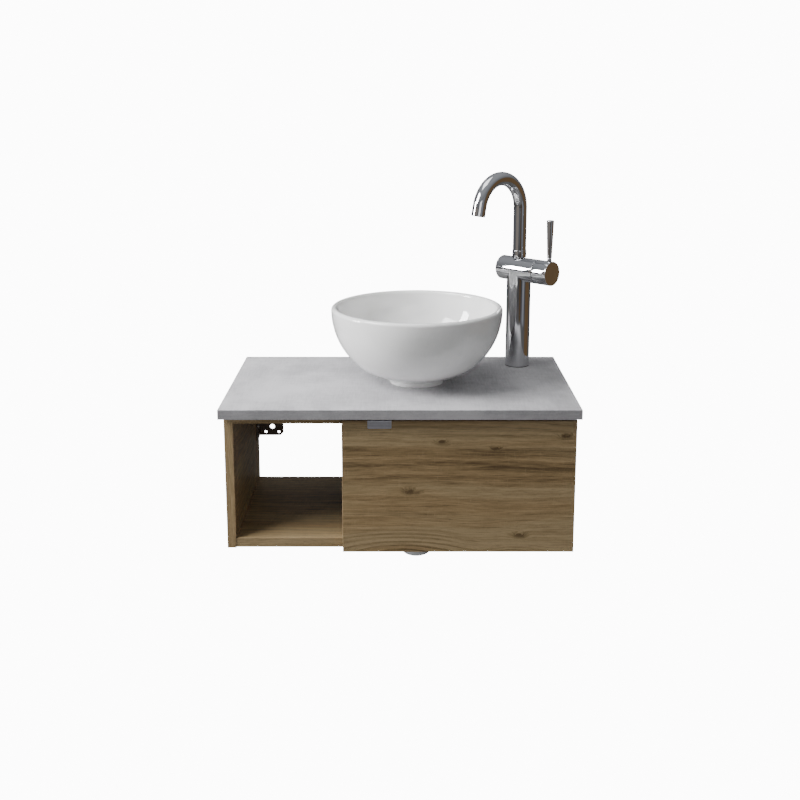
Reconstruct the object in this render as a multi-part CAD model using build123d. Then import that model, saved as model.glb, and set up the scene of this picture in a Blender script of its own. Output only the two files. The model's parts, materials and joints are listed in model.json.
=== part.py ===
from build123d import *
from math import cos, radians, sin
import os

# Wall-hung vanity with a vessel bowl and a tall mixer, in millimetres.
# The origin lies on the wall, midway between the two hanging holes. +Z is up, the front faces -Y.

# Countertop
TOP_WIDTH = 600.0
TOP_DEPTH = 355.0
TOP_THICK = 16.0
TOP_Z = 142.0
BAND_THICK = 1.0

# Carcass
CARCASS_HALF = 295.0
CARCASS_DEPTH = 325.0
CARCASS_BOTTOM = -112.0
BOARD = 16.0
SIDE_THICK = 15.0
PARTITION_LEFT = -97.0
RAIL_DEPTH = 80.0
BOTTOM_BACK_GAP = 28.0

# Door, which covers the front of the closed compartment
DOOR_LEFT = -97.0
DOOR_RIGHT = 294.0
DOOR_TOP = 119.6
DOOR_THICK = 16.0
DOOR_GAP = 1.5
HINGE_HEIGHTS = (-52.0, 62.0)
CUP_RADIUS = 17.5
CUP_DEPTH = 11.8
CUP_INSET = 20.0
ARM_PIVOT = (266.0, -331.0)
CUP_PIVOT = (286.0, -330.0)

# Hanging brackets
HOLE_X = 253.0
HOLE_RADIUS = 4.75
BRACKET_WIDTH = 49.0
BRACKET_HEIGHT = 36.0
BRACKET_REACH = 42.0
STEEL = 2.5

# Bowl
BOWL_X = 30.0
BOWL_Y = -174.0
BOWL_RADIUS = 152.0
BOWL_HEIGHT = 138.0
FOOT_RADIUS = 49.5
LIP = 11.5
WASTE_HOLE = 22.5

# Mixer
MIXER_X = 222.5
MIXER_Y = -60.0
BARREL_RADIUS = 22.5
BARREL_HEIGHT = 184.5
BARREL_BACK = -39.0
BARREL_FRONT = 45.0
CARTRIDGE_START = 10.0
BARREL_TURN = -45.0
HUB_START = 46.0
HUB_END = 77.4
LEVER_ALONG = 70.0
LEVER_TOP = 282.0
LEVER_TIP_RADIUS = 6.9
SPOUT_RADIUS = 12.5
SPOUT_BORE = 10.7
SPOUT_START = 220.5
COLLAR_LOW = 207.4
COLLAR_RADIUS = 13.1
STEM_RADIUS = 9.0
STEM_BORE = 7.0
SEAL_RING_HEIGHTS = (196.0, 201.0)
SEAL_RING_THICK = 2.2
AERATOR_RADIUS = 11.5
INSERT_RADIUS = 9.6
SPOUT_BEND = 58.0
SPOUT_SPRING = 298.4
SPOUT_ARC = 167.0
SPOUT_STRAIGHT = 18.5
SPOUT_TURN = -135.0
RUNNING = 0.06

# Trap
PIPE_RADIUS = 16.0
PIPE_WALL = 1.4
TRAP_BORE = 22.5
TRAP_OUTER = 25.0
TRAP_NUT_RADIUS = 23.5
TRAP_CUP_RADIUS = 27.5
WASTE_RADIUS = 20.5
WASTE_BORE = 17.0
TRAP_LOW = -187.0
OUTLET_Z = -45.0

TOP_UNDER = TOP_Z - TOP_THICK
FRONT = -CARCASS_DEPTH
SIDE_INNER = CARCASS_HALF - SIDE_THICK
DOOR_BACK = FRONT - DOOR_GAP
DOOR_FRONT = DOOR_BACK - DOOR_THICK
CUP_X = DOOR_RIGHT - CUP_INSET
FLOOR_Z = CARCASS_BOTTOM + 1.0 + BOARD


def block(x0, x1, y0, y1, z0, z1):
    # A box between two corners.
    centre = Pos((x0 + x1) / 2, (y0 + y1) / 2, (z0 + z1) / 2)
    return centre * Box(x1 - x0, y1 - y0, z1 - z0)


def rod(x, y, z0, z1, radius):
    # An upright cylinder.
    return Pos(x, y, (z0 + z1) / 2) * Cylinder(radius, z1 - z0)


def rod_x(x0, x1, y, z, radius):
    # A cylinder lying along X.
    return Pos((x0 + x1) / 2, y, z) * Rot(0, 90, 0) * Cylinder(radius, x1 - x0)


def rod_y(x, y0, y1, z, radius):
    # A cylinder lying along Y.
    return Pos(x, (y0 + y1) / 2, z) * Rot(90, 0, 0) * Cylinder(radius, y1 - y0)


def ring(x, y, z0, z1, outer, inner):
    # An upright tube.
    return rod(x, y, z0, z1, outer) - rod(x, y, z0, z1, inner)


def on_barrel(shape):
    # Places a shape drawn along X from the mixer's axis onto the slanting barrel.
    return Pos(MIXER_X, MIXER_Y, TOP_Z + BARREL_HEIGHT) * Rot(0, 0, BARREL_TURN) * shape


def on_spout(shape):
    # Places a shape drawn in the XZ plane, reaching along +X, onto the spout's direction.
    return Pos(MIXER_X, MIXER_Y, TOP_Z) * Rot(0, 0, SPOUT_TURN) * shape


def turned(face):
    # Turns a face in the XZ plane about the Z axis.
    return revolve(face, Axis.Z)


def dowel_places():
    # Each entry is (x of the joint face, y, z, direction into the rail).
    places = []
    for side in (-1, 1):
        face = side * SIDE_INNER
        for y in (-290.0, -60.0):
            places.append((face, y, FLOOR_Z - BOARD / 2, -side))
        for y in (FRONT + 18.0, FRONT + RAIL_DEPTH - 18.0):
            places.append((face, y, TOP_UNDER - BOARD / 2, -side))
        for z in (66.0, 106.0):
            places.append((face, -BOARD / 2, z, -side))
    return places


def dowels(radius, length_in_side, length_in_rail):
    # Dowels lie across each joint between a side panel and a rail.
    shapes = []
    for face, y, z, inward in dowel_places():
        ends = sorted((face - inward * length_in_side, face + inward * length_in_rail))
        shapes.append(rod_x(ends[0], ends[1], y, z, radius))
    return shapes


def bracket_screw_places(side):
    # The hanging bracket is screwed to the side panel at two heights.
    return [(side * SIDE_INNER, -30.0, z) for z in (-9.0, 9.0)]


def make_countertop():
    board = block(-TOP_WIDTH / 2 + BAND_THICK, TOP_WIDTH / 2 - BAND_THICK,
                  -TOP_DEPTH + BAND_THICK, 0, TOP_UNDER, TOP_Z)
    board -= rod(BOWL_X, BOWL_Y, TOP_UNDER - 1, TOP_Z + 1, WASTE_HOLE)
    board -= rod(MIXER_X, MIXER_Y, TOP_UNDER - 1, TOP_Z + 1, 17.5)
    for x in (-200.0, 0.0, 200.0):
        board -= rod(x, FRONT + RAIL_DEPTH / 2, TOP_UNDER - 1, TOP_UNDER + 12, 2.0)
    return board


def make_edge_bands():
    half = TOP_WIDTH / 2
    front = block(-half, half, -TOP_DEPTH, -TOP_DEPTH + BAND_THICK, TOP_UNDER, TOP_Z)
    left = block(-half, -half + BAND_THICK, -TOP_DEPTH + BAND_THICK, 0, TOP_UNDER, TOP_Z)
    right = block(half - BAND_THICK, half, -TOP_DEPTH + BAND_THICK, 0, TOP_UNDER, TOP_Z)
    return Compound([front, left, right])


def make_side_panel(side):
    ends = sorted((side * CARCASS_HALF, side * SIDE_INNER))
    panel = block(ends[0], ends[1], FRONT, 0, CARCASS_BOTTOM, TOP_UNDER)
    for peg in dowels(4.0, 10.0, 20.0):
        panel -= peg
    for x, y, z in bracket_screw_places(side):
        ends = sorted((x, x + side * 11.0))
        panel -= rod_x(ends[0], ends[1], y, z, 1.9)
    if side > 0:
        for height in HINGE_HEIGHTS:
            for z in (height - 16, height + 16):
                panel -= rod_x(SIDE_INNER, SIDE_INNER + 11.5, FRONT + 37, z, 2.4)
    return panel


def make_partition():
    right = PARTITION_LEFT + BOARD
    panel = block(PARTITION_LEFT, right, FRONT, -BOARD, FLOOR_Z, TOP_UNDER)
    panel -= block(PARTITION_LEFT, right, FRONT, FRONT + RAIL_DEPTH, TOP_UNDER - BOARD, TOP_UNDER)
    for y in (-290.0, -60.0):
        panel -= rod(PARTITION_LEFT + BOARD / 2, y, FLOOR_Z, FLOOR_Z + 20, 4.0)
    return panel


def make_bottom_panel():
    panel = block(-SIDE_INNER, SIDE_INNER, FRONT + 1, -BOTTOM_BACK_GAP, FLOOR_Z - BOARD, FLOOR_Z)
    panel -= rod(BOWL_X, BOWL_Y, FLOOR_Z - BOARD - 1, FLOOR_Z + 1, 33.0)
    for peg in dowels(4.0, 10.0, 20.0):
        panel -= peg
    for y in (-290.0, -60.0):
        panel -= rod(PARTITION_LEFT + BOARD / 2, y, FLOOR_Z - 10, FLOOR_Z, 4.0)
    return panel


def make_front_rail():
    rail = block(-SIDE_INNER, SIDE_INNER, FRONT, FRONT + RAIL_DEPTH, TOP_UNDER - BOARD, TOP_UNDER)
    for peg in dowels(4.0, 10.0, 20.0):
        rail -= peg
    for x in (-200.0, 0.0, 200.0):
        rail -= rod(x, FRONT + RAIL_DEPTH / 2, TOP_UNDER - BOARD - 1, TOP_UNDER + 1, 2.0)
    return rail


def make_back_rail():
    rail = block(-SIDE_INNER, SIDE_INNER, -BOARD, 0, TOP_UNDER - RAIL_DEPTH, TOP_UNDER)
    for peg in dowels(4.0, 10.0, 20.0):
        rail -= peg
    return rail


def make_dowels():
    pegs = dowels(4.0, 10.0, 20.0)
    for y in (-290.0, -60.0):
        pegs.append(rod(PARTITION_LEFT + BOARD / 2, y, FLOOR_Z - 10, FLOOR_Z + 20, 4.0))
    return Compound([chamfer(peg.edges(), 0.6) for peg in pegs])


def make_countertop_screws():
    screws = []
    under = TOP_UNDER - BOARD
    for x in (-200.0, 0.0, 200.0):
        y = FRONT + RAIL_DEPTH / 2
        head = chamfer(rod(x, y, under - 2.6, under, 4.2).edges().group_by(Axis.Z)[0], 0.8)
        head -= Pos(x, y, under - 2.6) * Box(4.4, 1.0, 2.0)
        head -= Pos(x, y, under - 2.6) * Box(1.0, 4.4, 2.0)
        screws.append(head + rod(x, y, under, TOP_UNDER + 11.5, 2.0))
    return Compound(screws)


def make_wall_bracket(side):
    # An angle of steel: one flange against the wall, the other screwed inside the side panel.
    inner = SIDE_INNER
    half = BRACKET_HEIGHT / 2
    wall = block(inner - BRACKET_WIDTH, inner, -STEEL, 0, -half, half)
    corners = wall.edges().filter_by(Axis.Y).group_by(Axis.X)[0]
    wall = chamfer(corners, 6.0)
    wall -= rod_y(HOLE_X, -STEEL - 1, 1, 0, HOLE_RADIUS)
    for x in (HOLE_X - 12.9, HOLE_X + 12.9):
        for z in (-11.0, 11.0):
            wall -= rod_y(x, -STEEL - 1, 1, z, 2.75)
    flange = block(inner - STEEL, inner, -BRACKET_REACH, 0, -half, half)
    flange = chamfer(flange.edges().filter_by(Axis.X).group_by(Axis.Y)[0], 6.0)
    bracket = wall + flange
    inside = [e for e in bracket.edges().filter_by(Axis.Z)
              if abs(e.center().X - (inner - STEEL)) < 0.1 and abs(e.center().Y + STEEL) < 0.1]
    bracket = fillet(inside, 1.5)
    for x, y, z in bracket_screw_places(1):
        bracket -= rod_x(inner - STEEL - 1, inner + 1, y, z, 2.1)
    return bracket if side > 0 else mirror(bracket, about=Plane.YZ)


def make_bracket_screws():
    screws = []
    for side in (-1, 1):
        for face, y, z in bracket_screw_places(side):
            seat = face - side * STEEL
            head_ends = sorted((seat, seat - side * 2.4))
            shank_ends = sorted((seat, face + side * 10.5))
            head = rod_x(head_ends[0], head_ends[1], y, z, 3.9)
            head -= Pos(seat - side * 2.4, y, z) * Box(1.6, 4.2, 0.9)
            head -= Pos(seat - side * 2.4, y, z) * Box(1.6, 0.9, 4.2)
            screws.append(head + rod_x(shank_ends[0], shank_ends[1], y, z, 1.9))
    return Compound(screws)


def handle_screw_places():
    return [(x, 105.0) for x in (-46.0, -22.0)]


def make_door():
    door = block(DOOR_LEFT, DOOR_RIGHT, DOOR_FRONT, DOOR_BACK, CARCASS_BOTTOM, DOOR_TOP)
    door = fillet(door.edges().group_by(Axis.Y)[0], 0.8)
    for height in HINGE_HEIGHTS:
        door -= rod_y(CUP_X, DOOR_BACK - 12.3, DOOR_BACK + 1, height, CUP_RADIUS)
        door -= rod_y(CUP_X, DOOR_BACK - 0.5, DOOR_BACK + 1, height, 18.5)
        door -= block(CUP_X - 8, CUP_X + 8, DOOR_BACK - 0.5, DOOR_BACK + 1, height - 27, height + 27)
        for z in (height - 22.5, height + 22.5):
            door -= rod_y(CUP_X, DOOR_BACK - 12, DOOR_BACK, z, 1.75)
    door -= block(-54, -14, DOOR_BACK - 1.5, DOOR_BACK + 1, 97.6, DOOR_TOP + 1)
    for x, z in handle_screw_places():
        door -= rod_y(x, DOOR_BACK - 11.5, DOOR_BACK, z, 1.5)
    return door


def make_door_handle():
    # A bent strip that hooks over the top edge of the door.
    left = -54.0
    right = -14.0
    over = DOOR_TOP + 1.5
    lip = block(left, right, DOOR_FRONT - 1.6, DOOR_FRONT, DOOR_TOP - 12.5, over)
    top = block(left, right, DOOR_FRONT - 1.6, DOOR_BACK, DOOR_TOP, over)
    leg = block(left, right, DOOR_BACK - 1.5, DOOR_BACK, 97.6, over)
    handle = lip + top + leg
    outer = handle.edges().filter_by(Axis.X).group_by(Axis.Z)[-1]
    handle = fillet(outer, 1.2)
    low_corners = [e for e in handle.edges().filter_by(Axis.Y)
                   if e.center().Y < DOOR_FRONT and e.center().Z < DOOR_TOP - 12]
    handle = fillet(low_corners, 2.2)
    for x, z in handle_screw_places():
        handle -= rod_y(x, DOOR_BACK - 2, DOOR_BACK + 1, z, 1.6)
        handle -= Pos(x, DOOR_BACK - 0.6, z) * Rot(-90, 0, 0) * Cone(1.6, 3.0, 1.2)
    return handle


def make_handle_screws():
    screws = []
    for x, z in handle_screw_places():
        head = Pos(x, DOOR_BACK - 0.6, z) * Rot(-90, 0, 0) * Cone(1.6, 3.0, 1.2)
        shank = rod_y(x, DOOR_BACK - 11, DOOR_BACK - 1.0, z, 1.5)
        screw = head + shank
        screw -= Pos(x, DOOR_BACK, z) * Box(2.8, 1.0, 0.7)
        screws.append(screw)
    return Compound(screws)


def make_door_bumpers():
    dots = []
    for z in (-104.0, 90.0):
        dot = rod_y(DOOR_LEFT + 8, DOOR_BACK, DOOR_BACK + 1.1, z, 4.0)
        dots.append(fillet(dot.edges().group_by(Axis.Y)[-1], 0.8))
    return Compound(dots)


def make_hinge_cups():
    cups = []
    for height in HINGE_HEIGHTS:
        bottom = DOOR_BACK - CUP_DEPTH
        cup = rod_y(CUP_X, bottom, DOOR_BACK, height, CUP_RADIUS)
        plate = rod_y(CUP_X, DOOR_BACK - 0.5, DOOR_BACK + 0.5, height, 18.5)
        plate += block(CUP_X - 8, CUP_X + 8, DOOR_BACK - 0.5, DOOR_BACK + 0.5, height - 27, height + 27)
        cup += plate
        cup -= rod_y(CUP_X, bottom + 0.8, DOOR_BACK + 1, height, CUP_RADIUS - 0.9)
        for z in (height - 22.5, height + 22.5):
            cup -= rod_y(CUP_X, DOOR_BACK - 1, DOOR_BACK + 1, z, 1.9)
        cup -= rod(CUP_PIVOT[0], CUP_PIVOT[1], height - 11.0, height + 11.0, 1.5)
        cups.append(cup)
    return Compound(cups)


def make_hinge_cup_screws():
    screws = []
    for height in HINGE_HEIGHTS:
        for z in (height - 22.5, height + 22.5):
            head = rod_y(CUP_X, DOOR_BACK - 0.5, DOOR_BACK + 0.6, z, 1.9)
            screws.append(head + rod_y(CUP_X, DOOR_BACK - 11.5, DOOR_BACK - 0.5, z, 1.75))
    return Compound(screws)


def make_hinge_cup_pins():
    x, y = CUP_PIVOT
    return Compound([rod(x, y, h - 11.0, h + 11.0, 1.5) for h in HINGE_HEIGHTS])


def make_hinge_arm_pins():
    x, y = ARM_PIVOT
    return Compound([rod(x, y, h - 9.5, h + 9.5, 1.5) for h in HINGE_HEIGHTS])


def make_hinge_links():
    # One flat link per hinge, with an eye round each pin.
    links = []
    ax, ay = ARM_PIVOT
    cx, cy = CUP_PIVOT
    for height in HINGE_HEIGHTS:
        low = height - 5.2
        high = height + 5.2
        bar = block(ax, cx, (ay + cy) / 2 - 1.1, (ay + cy) / 2 + 1.1, low, high)
        link = bar + rod(ax, ay, low, high, 2.7) + rod(cx, cy, low, high, 2.7)
        link -= rod(ax, ay, low - 1, high + 1, 1.5 + RUNNING)
        link -= rod(cx, cy, low - 1, high + 1, 1.5 + RUNNING)
        links.append(link)
    return Compound(links)


def make_hinge_arms():
    # A channel with two ears that hold the pin.
    arms = []
    ax, ay = ARM_PIVOT
    for height in HINGE_HEIGHTS:
        arm = block(262, 275, FRONT - 2, -262, height - 9.5, height + 9.5)
        arm -= block(264.5, 276, FRONT + 1, -261, height - 8, height + 8)
        for low, high in ((height - 9.5, height - 6), (height + 6, height + 9.5)):
            ear = block(262.5, 269.5, ay, FRONT + 3, low, high) + rod(ax, ay, low, high, 3.5)
            arm += ear
        arm -= block(261, 276, ay - 5, FRONT - 1, height - 6, height + 6)
        arm -= rod(ax, ay, height - 10, height + 10, 1.5)
        arm -= rod_x(261, 276, -288, height, 2.5)
        arms.append(arm)
    return Compound(arms)


def make_hinge_plates():
    plates = []
    y = FRONT + 37
    for height in HINGE_HEIGHTS:
        ridge = block(268, SIDE_INNER, y - 22, y + 26, height - 8, height + 8)
        wings = block(SIDE_INNER - 3, SIDE_INNER, y - 7, y + 7, height - 24, height + 24)
        plate = fillet(wings.edges().filter_by(Axis.X), 3.0) + ridge
        plate -= rod_x(267, SIDE_INNER - 3, y, height, 2.5)
        for z in (height - 16, height + 16):
            plate -= rod_x(SIDE_INNER - 4, SIDE_INNER + 1, y, z, 2.6)
        plates.append(plate)
    return Compound(plates)


def make_hinge_screws():
    # Two wood screws per mounting plate, and one clamp screw that holds the arm on the plate.
    screws = []
    y = FRONT + 37
    for height in HINGE_HEIGHTS:
        for z in (height - 16, height + 16):
            head = rod_x(SIDE_INNER - 5, SIDE_INNER - 3, y, z, 4.0)
            head -= Pos(SIDE_INNER - 5, y, z) * Box(1.6, 4.6, 1.0)
            head -= Pos(SIDE_INNER - 5, y, z) * Box(1.6, 1.0, 4.6)
            screws.append(head + rod_x(SIDE_INNER - 3, SIDE_INNER + 11, y, z, 2.4))
        clamp = rod_x(260, 262, y, height, 4.2) + rod_x(262, SIDE_INNER - 4, y, height, 2.5)
        clamp -= Pos(260, y, height) * Box(1.6, 5.0, 1.0)
        screws.append(clamp)
    return Compound(screws)


def bowl_outline():
    # Outer wall, rounded lip, inner wall and the seat of the waste, as radius and height.
    lip_base = BOWL_HEIGHT - LIP / 2
    outer = [(49.2, 9.6), (66, 14.2), (86, 21.8), (106, 33.8), (124, 52.5), (136.3, 71),
             (144.8, 90), (149.8, 109), (151.6, 122), (BOWL_RADIUS, lip_base)]
    inner = [(BOWL_RADIUS - LIP, lip_base), (140.0, 122), (138.0, 107), (133.2, 90.5),
             (125.6, 74.5), (114.0, 58), (97.3, 43.6), (76.5, 32.4), (55, 25.2), (33, 21.8)]
    lip = ThreePointArc((BOWL_RADIUS, lip_base), (BOWL_RADIUS - LIP / 2, BOWL_HEIGHT),
                        (BOWL_RADIUS - LIP, lip_base))
    outside = Spline(outer, tangents=((1, 0.2), (0, 1)))
    inside = Spline(inner, tangents=((0, -1), (-1, -0.1)))
    seat = Polyline((33, 21.8), (33, 18), (WASTE_HOLE, 18), (WASTE_HOLE, 3), (40, 3), (40, 0),
                    (FOOT_RADIUS - 1, 0), (FOOT_RADIUS, 1), (FOOT_RADIUS, 6.8), (48.2, 8.4), (49.2, 9.6))
    return Curve() + [outside, lip, inside, seat]


def make_bowl():
    face = make_face(Plane.XZ * bowl_outline())
    return Pos(BOWL_X, BOWL_Y, TOP_Z) * turned(face)


def make_bowl_gasket():
    return ring(BOWL_X, BOWL_Y, TOP_Z, TOP_Z + 3, 38, 24)


def make_drain_body():
    flange = ring(BOWL_X, BOWL_Y, TOP_Z + 19.4, TOP_Z + 21.2, 32.6, WASTE_BORE)
    tube = ring(BOWL_X, BOWL_Y, TOP_Z - 56, TOP_Z + 20, WASTE_RADIUS, WASTE_BORE)
    socket = ring(BOWL_X, BOWL_Y, TOP_Z - 68, TOP_Z - 56, WASTE_RADIUS, PIPE_RADIUS)
    body = flange + tube + socket
    mouth = [e for e in body.edges().filter_by(GeomType.CIRCLE)
             if abs(e.center().Z - TOP_Z - 21.2) < 0.01 and e.radius < 18]
    return chamfer(mouth, 1.2)


def make_drain_upper_seal():
    return ring(BOWL_X, BOWL_Y, TOP_Z + 18, TOP_Z + 19.4, 32.0, WASTE_RADIUS)


def make_drain_lower_seal():
    return ring(BOWL_X, BOWL_Y, TOP_UNDER - 4, TOP_UNDER, 32, WASTE_RADIUS)


def make_drain_nut():
    nut = Pos(BOWL_X, BOWL_Y, TOP_UNDER - 13) * extrude(RegularPolygon(31, 8), 9)
    return nut - rod(BOWL_X, BOWL_Y, TOP_UNDER - 15, TOP_UNDER, WASTE_RADIUS)


def make_click_cartridge():
    # The guide of the push plug, held by three legs inside the waste.
    body = rod(BOWL_X, BOWL_Y, TOP_Z - 14, TOP_Z + 4, 6.5)
    for turn in (0, 120, 240):
        leg = Pos(BOWL_X, BOWL_Y, TOP_Z - 11) * Rot(0, 0, turn) * Pos(11.3, 0, 0) * Box(11.4, 3, 6)
        body += leg
    body &= rod(BOWL_X, BOWL_Y, TOP_Z - 20, TOP_Z + 10, WASTE_BORE)
    return body - rod(BOWL_X, BOWL_Y, TOP_Z - 15, TOP_Z + 5, 3 + RUNNING)


def make_drain_plug():
    low = TOP_Z + 21.7
    dome = Pos(BOWL_X, BOWL_Y, low) * turned(make_face(Plane.XZ * (Curve() + [
        Polyline((0, 0), (30.5, 0), (31, 0.5), (31, 2.6)),
        ThreePointArc((31, 2.6), (16, 5.2), (2, 6.0)),
        Polyline((2, 6.0), (0, 6.0), (0, 0))])))
    return dome + rod(BOWL_X, BOWL_Y, TOP_Z - 8, low + 1, 3)


def make_tailpiece():
    return ring(BOWL_X, BOWL_Y, -18, TOP_Z - 58, PIPE_RADIUS, PIPE_RADIUS - PIPE_WALL)


def make_trap_body():
    body = rod(BOWL_X, BOWL_Y, -110, -12, TRAP_OUTER) + rod(BOWL_X, BOWL_Y, -12, -5, 20)
    body = fillet(body.edges().filter_by(GeomType.CIRCLE).group_by(Axis.Z)[2], 2.0)
    body += rod_y(BOWL_X, BOWL_Y + 20, BOWL_Y + 42, OUTLET_Z, 20)
    body -= rod(BOWL_X, BOWL_Y, -111, -22, TRAP_BORE)
    body -= rod(BOWL_X, BOWL_Y, -30, 0, PIPE_RADIUS)
    return body - rod_y(BOWL_X, BOWL_Y + 18, BOWL_Y + 43, OUTLET_Z, PIPE_RADIUS)


def make_trap_cup():
    cup = rod(BOWL_X, BOWL_Y, TRAP_LOW, -100, TRAP_CUP_RADIUS)
    cup = fillet(cup.edges().group_by(Axis.Z)[0], 9.0)
    cup -= rod(BOWL_X, BOWL_Y, -113, -99, TRAP_OUTER)
    return cup - rod(BOWL_X, BOWL_Y, TRAP_LOW + 6, -110, TRAP_BORE)


def make_trap_cup_seal():
    return ring(BOWL_X, BOWL_Y, -113, -110, TRAP_OUTER, TRAP_BORE)


def make_trap_inlet_nut():
    nut = rod(BOWL_X, BOWL_Y, -11.5, 9, TRAP_NUT_RADIUS)
    nut = chamfer(nut.edges().group_by(Axis.Z)[-1], 2.0)
    return nut - rod(BOWL_X, BOWL_Y, -13, -1, 20) - rod(BOWL_X, BOWL_Y, -2, 10, PIPE_RADIUS)


def make_trap_inlet_seal():
    return ring(BOWL_X, BOWL_Y, -5, -1, 19.8, PIPE_RADIUS)


def make_dip_tube():
    tube = rod(BOWL_X, BOWL_Y, -150, -22, PIPE_RADIUS) + rod(BOWL_X, BOWL_Y, -24, -22, TRAP_BORE)
    return tube - rod(BOWL_X, BOWL_Y, -151, -21, PIPE_RADIUS - PIPE_WALL)


def make_trap_outlet_nut():
    y = BOWL_Y + 34
    nut = chamfer(rod_y(BOWL_X, y, y + 20, OUTLET_Z, TRAP_NUT_RADIUS).edges().group_by(Axis.Y)[-1], 2.0)
    nut -= rod_y(BOWL_X, y - 1, BOWL_Y + 44, OUTLET_Z, 20)
    return nut - rod_y(BOWL_X, y - 1, y + 21, OUTLET_Z, PIPE_RADIUS)


def make_outlet_tube():
    # A raised bead stops the wall rosette and the socket.
    tube = rod_y(BOWL_X, BOWL_Y + 24, 0, OUTLET_Z, PIPE_RADIUS)
    tube += rod_y(BOWL_X, -42, -40, OUTLET_Z, PIPE_RADIUS + 1.2)
    return tube - rod_y(BOWL_X, BOWL_Y + 23, 1, OUTLET_Z, PIPE_RADIUS - PIPE_WALL)


def make_mixer_body():
    # The upright and the slanting barrel are one casting.
    axis_z = TOP_Z + BARREL_HEIGHT
    barrel = rod_x(BARREL_BACK, BARREL_FRONT, 0, 0, BARREL_RADIUS)
    rims = barrel.edges().filter_by(GeomType.CIRCLE)
    barrel = fillet([e for e in rims if e.center().X < BARREL_BACK + 0.1], 1.0)
    body = rod(MIXER_X, MIXER_Y, TOP_Z + 1, axis_z, BARREL_RADIUS) + on_barrel(barrel)
    body -= rod(MIXER_X, MIXER_Y, TOP_Z, TOP_Z + 14, 16)
    body -= rod(MIXER_X, MIXER_Y, TOP_Z + 13, axis_z - 30, 18)
    body -= on_barrel(rod_x(CARTRIDGE_START, BARREL_FRONT + 1, 0, 0, 18))
    return body - rod(MIXER_X, MIXER_Y, axis_z + 5, axis_z + 30, 9 + RUNNING)


def make_mixer_base_seal():
    return ring(MIXER_X, MIXER_Y, TOP_Z, TOP_Z + 1, 22.3, 17.5)


def make_mixer_shank():
    return ring(MIXER_X, MIXER_Y, TOP_Z - 55, TOP_Z + 13, 16, 11.5)


def make_mixer_washer():
    return ring(MIXER_X, MIXER_Y, TOP_UNDER - 3, TOP_UNDER, 26, 16.2)


def make_mixer_nut():
    nut = Pos(MIXER_X, MIXER_Y, TOP_UNDER - 13) * extrude(RegularPolygon(24, 6), 10)
    return nut - rod(MIXER_X, MIXER_Y, TOP_UNDER - 14, TOP_UNDER, 16)


def make_inlet_block():
    # Two threaded ports for the flexible supply hoses.
    low = TOP_Z - 55
    plug = rod(MIXER_X, MIXER_Y, low, low + 14, 11.5)
    for x in (MIXER_X - 5.2, MIXER_X + 5.2):
        plug -= rod(x, MIXER_Y, low - 1, low + 15, 4.25)
    return plug


def spout_arc_point(degrees):
    # A point on the bend, counted from where the spout leaves the upright.
    turn = radians(degrees)
    return (SPOUT_BEND * (1 - cos(turn)), 0, SPOUT_SPRING + SPOUT_BEND * sin(turn))


def spout_tip_frame():
    # Local frame at the outlet, whose Z axis points out of the tube.
    turn = radians(SPOUT_ARC)
    end = Vector(*spout_arc_point(SPOUT_ARC))
    out = Vector(sin(turn), 0, cos(turn))
    return Plane(origin=end + out * SPOUT_STRAIGHT, x_dir=(0, 1, 0), z_dir=out)


def spout_path():
    # Straight up, round an arc, then a short straight run to the outlet.
    end = spout_arc_point(SPOUT_ARC)
    rise = Line((0, 0, SPOUT_START), (0, 0, SPOUT_SPRING))
    arc = ThreePointArc(spout_arc_point(0), spout_arc_point(SPOUT_ARC / 2), end)
    return Wire([rise, arc, Line(end, spout_tip_frame().origin)])


def make_spout():
    path = spout_path()
    start = Plane.XY.offset(SPOUT_START)
    tube = sweep(start * Circle(SPOUT_RADIUS), path=path)
    tube -= sweep(start * Circle(SPOUT_BORE), path=path)
    tube += ring(0, 0, COLLAR_LOW - 14.4, COLLAR_LOW + 0.6, STEM_RADIUS, STEM_BORE)
    tube += ring(0, 0, COLLAR_LOW, SPOUT_START + 6, SPOUT_BORE, STEM_BORE)
    tube -= spout_tip_frame() * Pos(0, 0, -4) * Cylinder(AERATOR_RADIUS, 8.2)
    for z in SEAL_RING_HEIGHTS:
        tube -= ring(0, 0, z, z + SEAL_RING_THICK, STEM_RADIUS + 0.5, STEM_RADIUS - 1.2)
    return on_spout(tube)


def make_spout_collar():
    collar = ring(0, 0, COLLAR_LOW, SPOUT_START, COLLAR_RADIUS, SPOUT_BORE)
    edges = [e for e in collar.edges().filter_by(GeomType.CIRCLE) if e.radius > SPOUT_RADIUS]
    return on_spout(chamfer(edges, 0.5))


def make_spout_rings():
    rings = [ring(0, 0, z, z + SEAL_RING_THICK, STEM_RADIUS, STEM_RADIUS - 1.2) for z in SEAL_RING_HEIGHTS]
    return on_spout(Compound(rings))


def make_aerator_housing():
    # A threaded ring inside the end of the spout, showing a narrow rim.
    shell = Cylinder(AERATOR_RADIUS, 7.6) - Cylinder(INSERT_RADIUS, 9)
    return on_spout(spout_tip_frame() * Pos(0, 0, -3.6) * shell)


def make_aerator_insert():
    disc = Cylinder(INSERT_RADIUS, 4.0)
    for row in range(-3, 4):
        for column in range(-3, 4):
            if row * row + column * column <= 9:
                disc -= Pos(row * 2.4, column * 2.4, 0) * Box(1.6, 1.6, 6)
    return on_spout(spout_tip_frame() * Pos(0, 0, -3.0) * disc)


def make_cartridge():
    body = rod_x(CARTRIDGE_START, 38, 0, 0, 18)
    body -= rod_x(30, 39, 0, 0, 12)
    for y in (-6.0, 6.0):
        body -= rod_x(CARTRIDGE_START - 1, 20, y, 0, 3.0)
    return on_barrel(body)


def make_cartridge_nut():
    return on_barrel(rod_x(38, BARREL_FRONT - 0.5, 0, 0, 18) - rod_x(37, BARREL_FRONT, 0, 0, 12))


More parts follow.
